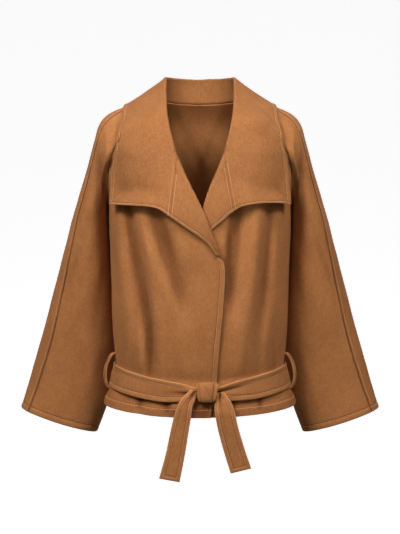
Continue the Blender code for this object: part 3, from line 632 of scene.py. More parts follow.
def wing_section(fold, tangent, edge, neck, tree, clear):
    """Points from the neck seam up, round the fold and down to the outer edge."""
    fall = edge - fold
    down = unit(fall - np.dot(fall, tangent) * tangent)
    out = np.cross(tangent, down)
    if np.dot(out, fold - CORE) < 0:
        out = -out
    radius = min(FOLD_RADIUS, max(TIP_RADIUS, 0.2 * np.linalg.norm(fall)))
    centre = fold + down * radius
    under = centre - out * radius
    if neck is None:
        neck = under + down * UNDER_LAYER
    points = [neck + (under - neck) * t for t in STAND_SHARES]
    points += [centre + radius * (out * math.sin(turn) - down * math.cos(turn))
               for turn in FOLD_TURNS]
    start = points[-1]
    span = np.linalg.norm(edge - start)
    bend = start + down * min(span / 3, BEND_MAX) - out * span * SAG
    arrive = edge - unit(edge - bend) * span / 3
    for t in np.linspace(0, 1, FALL_POINTS)[1:]:
        point = ((1 - t) ** 3 * start + 3 * t * (1 - t) ** 2 * bend
                 + 3 * t * t * (1 - t) * arrive + t ** 3 * edge)
        if tree:
            point = raised(raised(point, tree, clear), tree, clear)
        points.append(point)
    return points


def wing_grid(rows, necks, trees, clears):
    tangents = np.gradient(rows[:, :3], axis=0)
    return np.array([wing_section(row[:3], unit(tangent), row[3:], neck, tree, clear)
                     for row, tangent, neck, tree, clear
                     in zip(rows, tangents, necks, trees, clears)])


def lapel_rows(table, laps_over):
    rows = []
    for fold_x, fold_z, edge_x, edge_z, edge_lift in table:
        points = []
        for x, z, lift in ((fold_x, fold_z, LAPEL_FOLD_LIFT), (edge_x, edge_z, edge_lift)):
            lap = float(lap_lift(x, z)[0]) if laps_over else 0.0
            points += [x, -(surface_depth(x, z, "front") + lap + lift), z]
        rows.append(points)
    return np.array(rows)


def lapel_return(table, laps_over):
    nothing = [None] * len(table)
    grid = wing_grid(lapel_rows(table, laps_over), nothing, nothing, nothing)
    return tuple((point[2], point[0]) for point in grid[:, 0])


def front_grid(edge, lapel, folds, drape, laps_over):
    """One front: rows from hem to neck, columns from the side or raglan seam to its edge."""
    def lift(x, z):
        height = folds_at(folds, x, z) + drape_at(drape, x, z)
        if laps_over:
            height = height + drawn_in(x, z) + lap_lift(x, z)
            clear = (height + LAP_CLEAR + np.sqrt((height - LAP_CLEAR) ** 2 + 1.0)) / 2
            return height + (clear - height) * ramp(x, *OVER_BLEND)
        return height * (1 - ramp(x, *UNDER_BLEND)) + drawn_in(x, z)

    inner_edge = edge + lapel_return(lapel, laps_over) + NECK_SEAM
    return np.array([body_row(z, -torso(z)["seam_x"], lookup(inner_edge, z), "front", FRONT_FINE,
                              lift) for z in BODY_LEVELS])


def back_grid():
    def lift(x, z):
        return folds_at(BACK_FOLDS + BACK_CREASES, x, z) + drawn_in(x, z)

    grid = []
    for z in BODY_LEVELS:
        seam = torso(z)["seam_x"]
        row = body_row(z, -seam, seam, "back", BACK_FINE, lift)
        row[:, 2] -= NECK_DIP * float(ramp(z, -60, NECK_Z)) * (1 - (row[:, 0] / seam) ** 2)
        grid.append(row)
    return np.array(grid)


def raglan_border(face):
    sign = -1 if face == "front" else 1
    seam = []
    for z in RAGLAN_ROWS[::-1]:
        row = torso(z)
        seam.append((-row["seam_x"], sign * row["seam_" + face], z))
    seam = np.array(seam)
    length = np.concatenate([[0], np.cumsum(np.linalg.norm(np.diff(seam, axis=0), axis=1))])
    shares = NECK_END_SHARE + (1 - NECK_END_SHARE) * length / length[-1]
    return np.vstack([[SLEEVE_NECK], seam]), np.concatenate([[0], shares])


def sleeve_ring(values, angles):
    ring = dict(zip(SLEEVE_COLUMNS, values))
    over = np.array([ring["over_x"], 0.0, ring["over_z"]])
    under = np.array([ring["under_x"], 0.0, ring["under_z"]])
    middle, reach = (over + under) / 2, (over - under) / 2
    depth = np.array([[0, ring["mid_y"] - ring["half_depth"] * math.sin(angle), 0]
                      for angle in angles])
    return middle + np.outer(np.cos(angles), reach) + depth


def sleeve_grid(face):
    """One sleeve half: rows from the neck and raglan seam to the cuff."""
    rings = np.vstack([SLEEVE[:CAP_RINGS], smooth_rows(SLEEVE[CAP_RINGS:], LOWER_RINGS)])
    border, shares = raglan_border(face)
    seam_turn = [math.radians(lookup(SLEEVE_SEAM_TURN, index)) for index in range(len(rings))]
    under = math.pi if face == "front" else -math.pi
    grid = []
    for index, (values, start) in enumerate(zip(rings, seam_turn)):
        even = float(ramp(index, CAP_RINGS - 4, CAP_RINGS + 3))
        angles = start + (under - start) * (shares * (1 - even) + np.array(LOWER_SHARES) * even)
        grid.append(sleeve_ring(values, angles))
        if index == len(rings) - 1:
            grid[-1][:, 2] -= CUFF_DIP * np.abs(np.sin(angles))
    away = border - grid[0]
    for index, share in enumerate(RAGLAN_BLEND):
        grid[index] = grid[index] + share * away
    return np.array(grid)


# Making pieces.

def placed(name, data):
    """A new object in the scene."""
    made = bpy.data.objects.new(name, data)
    bpy.context.scene.collection.objects.link(made)
    return made


def store(mesh, label, values, kind="FLOAT", field="value"):
    """Keep a number, or a vector, at each point of a mesh."""
    layer = mesh.attributes.new(label, kind, "POINT")
    layer.data.foreach_set(field, np.asarray(values, np.float32).ravel())


def size(name):
    """One of the jacket's sizes, in millimetres."""
    return getattr(bpy.context.scene.jacket_sizes, name) / MM


def normal_sign(grid, facing):
    rows, columns = grid.shape[:2]
    r, c = rows // 2 - 1, columns // 2 - 1
    normal = np.cross(grid[r, c + 1] - grid[r, c], grid[r + 1, c] - grid[r, c])
    return 1 if np.dot(normal, facing) > 0 else -1


def grid_faces(corner, sign):
    rows, columns = corner.shape
    faces = [(int(corner[r, c]), int(corner[r, c + 1]), int(corner[r + 1, c + 1]),
              int(corner[r + 1, c])) for r in range(rows - 1) for c in range(columns - 1)]
    return faces if sign > 0 else [face[::-1] for face in faces]


def cloth_tree(parts):
    """The cloths' good sides, to be searched for the point nearest to another."""
    points, faces = [], []
    for part in parts:
        grid = part["grid"]
        corner = len(points) + np.arange(grid[..., 0].size).reshape(grid.shape[:2])
        points += [Vector(point * MM) for point in grid.reshape(-1, 3)]
        faces += grid_faces(corner, normal_sign(grid, part["facing"]))
    return BVHTree.FromPolygons(points, faces)


def cloth(name, grid, facing, material, wall, edge, sink):
    """A cloth wall from a fine grid of points on its good side, in millimetres.

    edge is how near each point is to a turned edge; the last argument is how much shade is painted
    on each point.
    """
    corner = np.arange(grid[..., 0].size).reshape(grid.shape[:2])
    mesh = bpy.data.meshes.new("suede_" + name)
    mesh.from_pydata([tuple(point) for point in grid.reshape(-1, 3) * MM], [],
                     grid_faces(corner, normal_sign(grid, facing)))
    pattern = np.stack([arc(grid, 1), arc(grid, 0)], axis=-1).reshape(-1, 2) * MM
    loops = np.empty(len(mesh.loops), int)
    mesh.loops.foreach_get("vertex_index", loops)
    cut = mesh.uv_layers.new(name="cut")
    cut.data.foreach_set("uv", pattern[loops].astype(np.float32).ravel())
    store(mesh, "edge", edge)
    store(mesh, "sink", sink)
    mesh.shade_smooth()
    mesh.materials.append(material)
    piece = placed("suede_" + name, mesh)
    solidify = piece.modifiers.new("wall", "SOLIDIFY")
    solidify.thickness = wall * MM
    solidify.offset = -1.0
    solidify.use_even_offset = False
    return piece


def finished(grid, facing, height):
    """A cloth's good side with its finishing heights, and the ways off it."""
    normal = normals_of(grid, facing)
    return grid + normal * height[..., None], normal


def picked(shape, normal, *spots):
    """Lines of a finished cloth, each with the ways off it."""
    return [(shape[spot], normal[spot]) for spot in spots]


def feed(tree, node, inputs):
    """Set a node's inputs, each to a value or to another node's output."""
    for label, value in inputs.items():
        if isinstance(value, bpy.types.NodeSocket):
            tree.links.new(value, node.inputs[label])
        else:
            node.inputs[label].default_value = value


def add_node(tree, kind, inputs=None, **settings):
    """Add a node with its settings and inputs, and return its outputs."""
    node = tree.nodes.new(kind)
    for label, value in settings.items():
        setattr(node, label, value)
    feed(tree, node, inputs or {})
    return node.outputs


def new_group(name, kind, inputs, outputs):
    """A node group with named sockets, each with its type and its value if it has one."""
    tree = bpy.data.node_groups.new(name, kind)
    for way, sockets in (("INPUT", inputs), ("OUTPUT", outputs)):
        for label, (socket_type, *value) in sockets.items():
            socket = tree.interface.new_socket(label, in_out=way,
                                               socket_type="NodeSocket" + socket_type)
            if value:
                socket.default_value = value[0]
    return tree, add_node(tree, "NodeGroupInput")


def stitch_tree():
    """Geometry Nodes: one slim stitch at each step along the seam lines."""
    tree = bpy.data.node_groups.get("Topstitching")
    if tree:
        return tree
    tree, entry = new_group(
        "Topstitching", "GeometryNodeTree",
        {"Geometry": ["Geometry"], "Pitch": ["Float"], "Length": ["Float"],
         "Thickness": ["Float"], "Thread": ["Material"]}, {"Geometry": ["Geometry"]})
    curve = add_node(tree, "GeometryNodeMeshToCurve", {"Mesh": entry["Geometry"]})
    steps = add_node(tree, "GeometryNodeResampleCurve",
                     {"Curve": curve["Curve"], "Length": entry["Pitch"]},
                     mode="LENGTH")
    ball = add_node(tree, "GeometryNodeMeshUVSphere", {"Segments": 6, "Rings": 4, "Radius": 0.5})
    laid = add_node(tree, "GeometryNodeTransform",
                    {"Geometry": ball["Mesh"], "Rotation": (0, math.pi / 2, 0)})
    scale = add_node(tree, "ShaderNodeCombineXYZ", {
        "X": entry["Length"], "Y": entry["Thickness"], "Z": entry["Thickness"]})
    stitch = add_node(tree, "GeometryNodeTransform",
                      {"Geometry": laid["Geometry"], "Scale": scale["Vector"]})
    tangent = add_node(tree, "GeometryNodeInputTangent")
    off = add_node(tree, "GeometryNodeInputNamedAttribute", {"Name": "off"},
                   data_type="FLOAT_VECTOR")
    along = add_node(tree, "FunctionNodeAlignRotationToVector",
                     {"Vector": tangent["Tangent"]}, axis="X")
    stand = add_node(tree, "FunctionNodeAlignRotationToVector",
                     {"Rotation": along["Rotation"], "Vector": off["Attribute"]},
                     axis="Z", pivot_axis="X")
    row = add_node(tree, "GeometryNodeInstanceOnPoints",
                   {"Points": steps["Curve"], "Instance": stitch["Geometry"],
                    "Rotation": stand["Rotation"]})
    real = add_node(tree, "GeometryNodeRealizeInstances", {"Geometry": row["Instances"]})
    paint = add_node(tree, "GeometryNodeSetMaterial",
                     {"Geometry": real["Geometry"], "Material": entry["Thread"]})
    add_node(tree, "NodeGroupOutput", {"Geometry": paint["Geometry"]})
    return tree


def sewn(name, lines):
    """Stitches along lines, each a pair of arrays: points and the ways off the cloth."""
    sizes = bpy.context.scene.jacket_sizes
    points, edges, off = [], [], []
    for line, away in lines:
        first = len(points)
        points += [tuple((point + side * THREAD_LIFT) * MM) for point, side in zip(line, away)]
        off += [tuple(side) for side in away]
        edges += [(first + index, first + index + 1) for index in range(len(line) - 1)]
    mesh = bpy.data.meshes.new(name + "_path")
    mesh.from_pydata(points, edges, [])
    store(mesh, "off", off, "FLOAT_VECTOR", "vector")
    path = placed(name + "_path", mesh)
    rule = path.modifiers.new("stitches", "NODES")
    rule.node_group = stitch_tree()
    values = {"Pitch": sizes.stitch_pitch, "Length": sizes.stitch_length,
              "Thickness": sizes.thread_thickness, "Thread": thread_material()}
    for item in rule.node_group.interface.items_tree:
        if item.name in values:
            rule[item.identifier] = values[item.name]
    bpy.context.view_layer.update()
    ready = path.evaluated_get(bpy.context.evaluated_depsgraph_get())
    plain = bpy.data.meshes.new_from_object(ready)
    plain.name = name
    plain.shade_smooth()
    bpy.data.objects.remove(path, do_unlink=True)
    piece = placed(name, plain)
    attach(piece, "root")
    return piece


def declare(piece, node, lines):
    """Stitch a finished cloth, hang it from the root and hide its CAD part; the size it was cut to
    is measured but not used.
    """
    stitches = sewn("stitches_" + node, lines)
    pattern = np.empty(len(piece.data.loops) * 2, np.float32)
    piece.data.uv_layers["cut"].data.foreach_get("uv", pattern)
    width, length = (float(extent) for extent in np.ptp(pattern.reshape(-1, 2), axis=0))
    area = sum(face.area for face in piece.data.polygons)
    area = min(max(area, LEAST_FILL * width * length), width * length)
    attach(piece, "root")
    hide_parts(node)


# Materials.

def mix_node(tree, factor, one, two, blend="MIX"):
    """Two colours, mixed by a factor."""
    return add_node(tree, "ShaderNodeMix", {"Factor": factor, "A": one, "B": two},
                    data_type="RGBA", blend_type=blend)["Result"]


def suede_group():
    """Shader node group: mottled nap colour with worn edges and painted shade, and the height of
    its short fibres.
    """
    group = bpy.data.node_groups.get("Suede nap")
    if group:
        return group
    group, entry = new_group(
        "Suede nap", "ShaderNodeTree",
        {"Light": ["Color"], "Dark": ["Color"], "Patches": ["Float", 0.5],
         "Edge": ["Float", 0.0], "PaintedShade": ["Float", 0.0], "Worn": ["Color"]},
        {"Color": ["Color"], "Height": ["Float"], "Roughness": ["Float"]})
    place = add_node(group, "ShaderNodeTexCoord")

    def cloudy(scale, detail, stretch):
        mapping = add_node(group, "ShaderNodeMapping",
                           {"Vector": place["Object"], "Scale": (1, 1, stretch)})
        return add_node(group, "ShaderNodeTexNoise", {
            "Vector": mapping["Vector"], "Scale": scale, "Detail": detail,
            "Roughness": 0.6})["Fac"]

    def blend(one, weight_one, two, weight_two):
        first = add_node(group, "ShaderNodeMath", {0: one, 1: weight_one}, operation="MULTIPLY")
        return add_node(group, "ShaderNodeMath", {0: two, 1: weight_two, 2: first[0]},
                        operation="MULTIPLY_ADD")[0]

    patches, mottle, fibres = (cloudy(*cloud) for cloud in NAP_CLOUDS)
    blotches = blend(patches, 0.55, mottle, 0.45)
    spread = add_node(group, "ShaderNodeMapRange", {
        "Value": blend(blotches, 0.55, fibres, 0.45), "From Min": 0.40, "From Max": 0.60})
    level = add_node(group, "ShaderNodeMath",
                     {0: spread["Result"], 1: entry["Patches"], 2: 0.0},
                     operation="MULTIPLY_ADD", use_clamp=True)
    tone = mix_node(group, level[0], entry["Light"], entry["Dark"])
    worn = mix_node(group, entry["Edge"], tone, entry["Worn"])
    rough = add_node(group, "ShaderNodeMapRange",
                     {"Value": mottle, "To Min": 0.82, "To Max": 0.98})
    # Painted shade: the colour is multiplied towards a dark brown as far as the shade attribute
    # says.
    add_node(group, "NodeGroupOutput", {
        "Color": mix_node(group, entry["PaintedShade"], worn, PAINTED_SHADE_COLOUR, "MULTIPLY"),
        "Height": blend(fibres, 0.7, mottle, 0.3), "Roughness": rough["Result"]})
    return group


def new_material(name):
    material = bpy.data.materials.new(name)
    material.use_nodes = True
    return material, material.node_tree


def shaded(colour, share):
    return (*[value * share for value in colour], 1.0)


def suede(name, brightness=1.0, patches=0.5, bump=0.5):
    """A suede material: nap group into colour, roughness and bump, plain sheen. Its colours are
    scaled by a share, which for the collar and the belt is painted shade against the light their
    upturned faces get.
    """
    material = bpy.data.materials.get(name)
    if material:
        return material
    look = bpy.context.scene.suede_look
    material, tree = new_material(name)
    edge, sink = (add_node(tree, "ShaderNodeAttribute", attribute_name=label)["Fac"]
                  for label in ("edge", "sink"))
    nap = add_node(tree, "ShaderNodeGroup", {
        "Light": shaded(look.light, brightness), "Dark": shaded(look.dark, brightness),
        "Worn": shaded(look.worn, brightness), "Patches": patches, "Edge": edge, "PaintedShade": sink},
        node_tree=suede_group())
    relief = add_node(tree, "ShaderNodeBump", {
        "Height": nap["Height"], "Strength": bump, "Distance": 0.0004})
    feed(tree, tree.nodes["Principled BSDF"], {
        "Base Color": nap["Color"], "Roughness": nap["Roughness"],
        "Normal": relief["Normal"], "Specular IOR Level": 0.2,
        "Sheen Weight": look.sheen, "Sheen Roughness": 0.45,
        "Sheen Tint": (1.0, 0.72, 0.5, 1.0)})
    return material


def cloudy_material(name, colour, share, scale, roughness, light=0.0):
    """A plain colour with soft clouds of a share of it, which may give off white light."""
    material, tree = new_material(name)
    place = add_node(tree, "ShaderNodeTexCoord")
    cloud = add_node(tree, "ShaderNodeTexNoise",
                     {"Vector": place["Object"], "Scale": scale})
    feed(tree, tree.nodes["Principled BSDF"], {
        "Base Color": mix_node(tree, cloud["Fac"], (*colour, 1.0),
                               shaded(colour, share)),
        "Roughness": roughness, "Emission Color": (1, 1, 1, 1), "Emission Strength": light})
    return material


def thread_material():
    thread = bpy.context.scene.suede_look.thread
    return bpy.data.materials.get("sewing_thread") or cloudy_material(
        "sewing_thread", thread, 0.7, 300.0, 0.6)


# The pieces.

def margin_steps(margin):
    """Distances from a turned edge where points lie, close round the row of stitches."""
    return tuple(margin * share for share in EDGE_SHARES)


def build_fronts():
    edge_margin, hem_margin = size("edge_margin"), size("hem_margin")
    made = {}
    for seed, (side, front) in enumerate(FRONTS.items(), 1):
        edge, lapel, folds, drape, fastened, covered = front
        over = side == "right"
        grid = front_grid(edge, lapel, folds, drape, over)
        grid = spaced(grid, 1, SEAM_STEPS, margin_steps(edge_margin), FRONT_POINTS)
        grid = spaced(grid, 0, margin_steps(hem_margin), PLAIN_STEPS, BODY_POINTS)
        x, y, z = np.moveaxis(grid, -1, 0)
        from_seam, from_hem = arc(grid, 1), arc(grid, 0)
        free = ramp(-z[:, -1:], *fastened)
        from_edge = from_seam[:, -1:] - from_seam + (1 - free) * 60
        height = (turned_edge(from_edge, edge_margin) + turned_edge(from_hem, hem_margin)
                  + sewn_seam(from_seam) * (0.3 + 0.7 * ramp(from_hem, 4, 14))
                  + unevenness(grid, seed))
        shape, normal = finished(grid, FRONT_FACING, height)
        deep = (folds_at(folds, x, z) + drape_at(drape, x, z)) * (1 - ramp(x, *covered))
        # Painted shade: in the seams, beside rows of stitches, in folds, below the belt and, on
        # the under front, beside the lap.
        sinks = [bell(from_seam, SEAM_SHADE_WIDTH), groove_shade(from_edge, edge_margin),
                 groove_shade(from_hem, hem_margin), hollow_shade(deep, 1, 10),
                 under_belt(x, z + 20 * (y / 122) ** 2)]
        if not over:
            sinks.append(beside_lap(x, z))
        grid, shape, normal, facing = (
            turned(form, side) for form in (grid, shape, normal, FRONT_FACING))
        stop = int(np.argmax(free[:, 0] < 0.02)) or len(free)
        made["front_" + side] = dict(
            grid=grid, shape=shape, facing=facing, sink=np.maximum.reduce(sinks),
            edge=np.maximum(bell(from_edge, WORN_WIDTH), bell(from_hem, WORN_WIDTH)),
            lines=picked(shape, normal, np.s_[STITCH_STEP:stop, -1 - STITCH_STEP],
                         np.s_[STITCH_STEP, 1:]))
    return made


def build_back():
    hem_margin = size("hem_margin")
    grid = spaced(back_grid(), 1, SEAM_STEPS, SEAM_STEPS, BACK_POINTS)
    grid = spaced(grid, 0, margin_steps(hem_margin), PLAIN_STEPS, BODY_POINTS)
    facing = (0, 1, 0)
    from_seam, from_hem = from_sides(arc(grid, 1)), arc(grid, 0)
    shape, normal = finished(grid, facing, turned_edge(from_hem, hem_margin)
                             + sewn_seam(from_seam) + unevenness(grid, 3))
    deep = folds_at(BACK_FOLDS + BACK_CREASES, grid[..., 0], grid[..., 2])
    # Painted shade in the side seams, in folds and beside the hem's stitches.
    sink = np.maximum.reduce([bell(from_seam, SEAM_SHADE_WIDTH), hollow_shade(deep, 1, 10),
                              groove_shade(from_hem, hem_margin)])
    return {"back_panel": dict(
        grid=grid, shape=shape, facing=facing, sink=sink, edge=bell(from_hem, WORN_WIDTH),
        lines=picked(shape, normal, STITCH_STEP))}


@functools.cache
def body_parts():
    """The fronts and the back, worked out once for the body and the collar."""
    return {**build_fronts(), **build_back()}


@functools.cache
def sleeve_parts():
    """The four sleeve halves, worked out once for the sleeves and the collar."""
    margin = size("cuff_margin")
    beside = SEAM_STEPS.index(5.0)
    made = {}
    for face, outward, creases, seed in (("front", -1, SLEEVE_CREASES, 4),
                                         ("back", 1, SLEEVE_BACK_CREASES, 5)):
        grid = fair_grid(sleeve_grid(face), *SLEEVE_FINE)
        grid = spaced(grid, 1, SEAM_STEPS, SEAM_STEPS, SLEEVE_POINTS[0])
        grid = spaced(grid, 0, SEAM_STEPS, margin_steps(margin), SLEEVE_POINTS[1])
        facing = (0, outward, 0)
        seams, from_raglan = from_sides(arc(grid, 1)), arc(grid, 0)
        from_cuff = from_raglan[-1:] - from_raglan
        crease = folds_at(creases, grid[..., 0], grid[..., 2])
        crease *= ramp(seams, 0, 14) * ramp(from_raglan, 0, 20)
        height = (turned_edge(from_cuff, margin) + sewn_seam(seams) + sewn_seam(from_raglan)
                  + crease + unevenness(grid, seed))
        shape, normal = finished(grid, facing, height)
        # Painted shade in the seams, beside the cuff's stitches and in the creases.
        seam_shade_width = 1.7 + 0.8 * ramp(grid[..., 2], -330, -110)
        sink = np.maximum.reduce([bell(np.minimum(seams, from_raglan), seam_shade_width),
                                  groove_shade(from_cuff, margin), hollow_shade(crease, 0.3, 5)])
        spots = [np.s_[-1 - STITCH_STEP, 1:-1], np.s_[beside, beside:-2]]
        if face == "back":
            spots.append(np.s_[beside:, beside])
        for side in FLIP:
            made[f"sleeve_{side}_{face}"] = dict(
                grid=turned(grid, side), shape=turned(shape, side), facing=facing,
                sink=sink, edge=bell(from_cuff, WORN_WIDTH),
                lines=picked(turned(shape, side), turned(normal, side), *spots))
    return made


def make_cloths(parts, material):
    for name, part in parts.items():
        piece = cloth(name, part["shape"], part["facing"], material, size("wall"),
                      part["edge"], part["sink"])
        declare(piece, name, part["lines"])


def build_body():
    body_parts.cache_clear()
    make_cloths(body_parts(), suede("suede_body"))


def build_sleeves():
    sleeve_parts.cache_clear()
    make_cloths(sleeve_parts(), suede("suede_sleeve", 0.99))


def neck_line(body):
    """The panels' neck edge from right front to left front, and the ways off the panels."""
    back = body["back_panel"]["grid"]
    top = back[:, :back.shape[1] // 2 + 1]
    halves = []
    for side in FLIP:
        front = turned(body["front_" + side]["grid"], side)
        rows = np.where(front[:, -1, 2] > -100)[0]
        line = np.vstack([front[rows, -1], [SLEEVE_NECK], top[-1]])
        away = np.vstack([front[rows, -1] - front[rows, -3], [(1.0, 0.0, 0.4)],
                          top[-1] - top[-2]])
        tangent = np.gradient(line, axis=0)
        tangent /= np.linalg.norm(tangent, axis=1, keepdims=True)
        away -= tangent * np.sum(away * tangent, axis=1, keepdims=True)
        away /= np.linalg.norm(away, axis=1, keepdims=True)
        halves.append((turned(line, side), turned(away, side)))
    return [np.vstack([right, left[-2::-1]]) for right, left in zip(*halves)]


def foot_on(line, away, point):
    step = line[1:] - line[:-1]
    share = np.sum((point - line[:-1]) * step, axis=1) / np.maximum(
        np.sum(step * step, axis=1), 1e-9)
    share = np.clip(share, 0, 1)[:, None]
    feet = line[:-1] + step * share
    best = int(np.argmin(np.linalg.norm(feet - point, axis=1)))
    direction = away[best] * (1 - share[best]) + away[best + 1] * share[best]
    return feet[best] + unit(direction) * NECK_STEP


def wing_parts():
    """The strip of lapels and collar, from break to break."""
    flip = np.tile([-1.0, 1.0, 1.0], 2)
    right, left = lapel_rows(RIGHT_LAPEL, True), lapel_rows(LEFT_LAPEL, False)
    table = np.vstack([right, COLLAR, COLLAR[-2::-1] * flip, left[::-1] * flip])
    rows = smooth_rows(table, (len(table) - 1) * WING_STEPS + 1)
    first, last = len(right) * WING_STEPS, (len(table) - len(left) - 1) * WING_STEPS
    line, away = neck_line(body_parts())
    necks = [foot_on(line, away, row[:3]) if first <= index <= last else None
             for index, row in enumerate(rows)]
    under = {**body_parts(), **sleeve_parts()}
    trees = {side: cloth_tree([under[name] for name in (
        "front_" + side, f"sleeve_{side}_front", f"sleeve_{side}_back", "back_panel")])
        for side in FLIP}
    beneath, clears = [], []
    for index in range(len(rows)):
        beneath.append(trees["right" if index <= len(rows) // 2 else "left"])
        share = float(ramp(min(index, len(rows) - 1 - index), first - 5 * WING_STEPS,
                           first + 2 * WING_STEPS))
        clears.append(LAPEL_CLEAR + (COLLAR_CLEAR - LAPEL_CLEAR) * share)
    return wing_grid(rows, necks, beneath, clears)


def gorge_distance(points, side):
    """Signed distance from a seam between lapel and collar, positive on the lapel."""
    upper, lower = np.array(GORGE[side], float)
    run = (lower - upper) / np.linalg.norm(lower - upper)
    rel = turned(points, side)[..., (0, 2)] - upper
    return rel[..., 1] * run[0] - rel[..., 0] * run[1]


def build_wings():
    margin, count = size("collar_margin"), WING_STEPS
    grid = wing_parts()
    at_end = np.minimum(np.arange(len(grid)), len(grid) - 1 - np.arange(len(grid)))
    narrow = 1 - 0.5 * (1 - ramp(at_end, 11 * count - 1, 11 * count + 3))
    over = spaced(grid[:, FALL_START:], 1, PLAIN_STEPS, margin_steps(margin), FALL_FINE,
                  narrow)
    grid = np.concatenate([grid[:, :FALL_START], over], axis=1)
    row = arc(grid, 1)
    from_edge = row[:, -1:] - row
    half = len(grid) // 2
    gap = np.abs(np.vstack([gorge_distance(grid, "right")[:half],
                            gorge_distance(grid, "left")[half:]]))
    at_end, margin = at_end[:, None], margin * narrow[:, None]
    gap = gap + (1 - ramp(at_end, 18 * count, 13 * count)) * 40
    height = (turned_edge(from_edge, margin) * ramp(at_end, 0, 2 * count)
              + sewn_seam(gap * 0.8) * 0.45 + unevenness(grid, 6, 1.0, 0.3) * ramp(row, 6, 20))
    shape, normal = finished(grid, (0, 0, 1), height)
    edge = bell(from_edge, 1.8)
    # Painted shade along the seams between lapel and collar and beside the edge's stitches.
    sink = np.maximum(0.2 * bell(gap, SEAM_SHADE_WIDTH), groove_shade(from_edge, margin))
    for name, start, stop in (
            ("collar", count * GORGE_ROWS, len(grid) - count * GORGE_ROWS),
            ("lapel_right", 0, count * LAPEL_ROWS + 1),
            ("lapel_left", len(grid) - count * LAPEL_ROWS - 1, len(grid))):
        facing, rests_on, lines = (0, -1, 0), name.replace("lapel", "suede_front"), []
        if name == "collar":
            facing, rests_on = (0, 0, 1), "suede_back_panel"
            lines = picked(shape, normal, np.s_[count:-count, -1 - STITCH_STEP])
        # The colours of collar and lapels are scaled by 0.79: painted shade against the light
        # their upturned faces get.
        piece = cloth(name, shape[start:stop], facing, suede("suede_collar", 0.79),
                      size("wall") * COLLAR_THICKER, edge[start:stop], sink[start:stop])
        trim_at_gorge(piece, name, (shape.shape[1] - 1) * count * TRIM_ROWS)
        declare(piece, name, gorge_lines(shape, normal, name) + lines)


def gorge_lines(shape, normal, name):
    """Rows of stitches beside the seams between lapel and collar, on one piece."""
    lines = []
    reach = SEARCH_ROWS * WING_STEPS
    for side, span in (("right", slice(0, reach)), ("left", slice(len(shape) - reach, None))):
        if name not in ("collar", "lapel_" + side):
            continue
        points, ways = shape[span], normal[span]
        gap = gorge_distance(points, side) + (TWIN_GAP if name == "collar" else -TWIN_GAP)
        line, away = [], []
        for column in range(FALL_START + 3, points.shape[1]):
            crossing = np.where(np.diff(np.sign(gap[:, column])) != 0)[0]
            if len(crossing):
                index = crossing[0] if side == "right" else crossing[-1]
                low, high = gap[index, column], gap[index + 1, column]
                t = low / (low - high)
                line.append(points[index, column] * (1 - t) + points[index + 1, column] * t)
                away.append(ways[index, column])
        if len(line) > 2:
            lines.append((np.array(line), np.array(away)))
    return lines


def trim_at_gorge(piece, name, end_faces):
    """Cut a wing's cloth along the seams between lapel and collar."""
    collar = name == "collar"
    shape = bmesh.new()
    shape.from_mesh(piece.data)
    shape.faces.ensure_lookup_table()
    reach = end_faces if collar else len(shape.faces)
    ends = {"right": shape.faces[:reach], "left": shape.faces[-reach:]}
    for side, faces in ends.items():
        if name not in ("collar", "lapel_" + side):
            continue
        (x0, z0), (x1, z1) = GORGE[side]
        run = unit(np.array([x1 - x0, z1 - z0]))
        normal = np.array([-run[1], 0.0, run[0]])
        spot = np.array([x0, 0.0, z0]) + normal * (0.1 if collar else -0.1)
        parts = dict.fromkeys(faces)
        for face in faces:
            parts.update(dict.fromkeys([*face.verts, *face.edges]))
        bmesh.ops.bisect_plane(shape, geom=list(parts), dist=1e-6,
                               plane_co=turned(spot, side) * MM, plane_no=turned(normal, side),
                               clear_outer=collar, clear_inner=not collar)
    shape.to_mesh(piece.data)
    shape.free()


def build_neck_tape():
    grid = []
    for x in np.linspace(-76, 76, 60):
        top = NECK_Z - NECK_DIP * (1 - (x / BACK_NECK_X) ** 2)
        grid.append([(x, surface_depth(x, top - drop, "back") - TAPE_INSIDE, top - drop)
                     for drop in TAPE_DROPS])
    grid, facing = np.array(grid), (0, -1, 0)
    row = arc(grid, 1)
    side = from_sides(row)
    shape, normal = finished(grid, facing, 0.35 * np.sin(math.pi * np.clip(row / 10, 0, 1))
                             - 0.5 * bell(side, 0.6))
    piece = cloth("neck_tape", shape, facing, suede("suede_trim", 0.85, 0.4), TAPE_WALL,
                  bell(side, 0.8) * 0.6, np.zeros_like(side))
    declare(piece, "neck_tape", picked(shape, normal, np.s_[1:-1, 3], np.s_[1:-1, 7]))


def belt_point(face, angle, share):
    """The belt's point at an angle of the body, share from its lower to its upper edge."""
    def lift(x, _):
        return BELT_WALL + BELT_CLEAR + BELT_OVER_LAP * ramp(x, LAP_START, LAP_FULL) * (
            1 - ramp(x, 40, 80))

    middle = body_points(np.array([angle]), BELT_Z, face, lift)[0]
    half = BELT_HALF_SIDE
    if face == "front":
        reach = abs(middle[0] - KNOT_CENTRE[0])
        half -= (BELT_HALF_SIDE - BELT_HALF_KNOT) * (1 - float(ramp(reach, 20, 100)))
        half -= (6.0 if share > 0 else 9.0) * (1 - float(ramp(reach, 12, 52)))
    return body_points(np.array([angle]), BELT_Z + share * half, face, lift)[0]


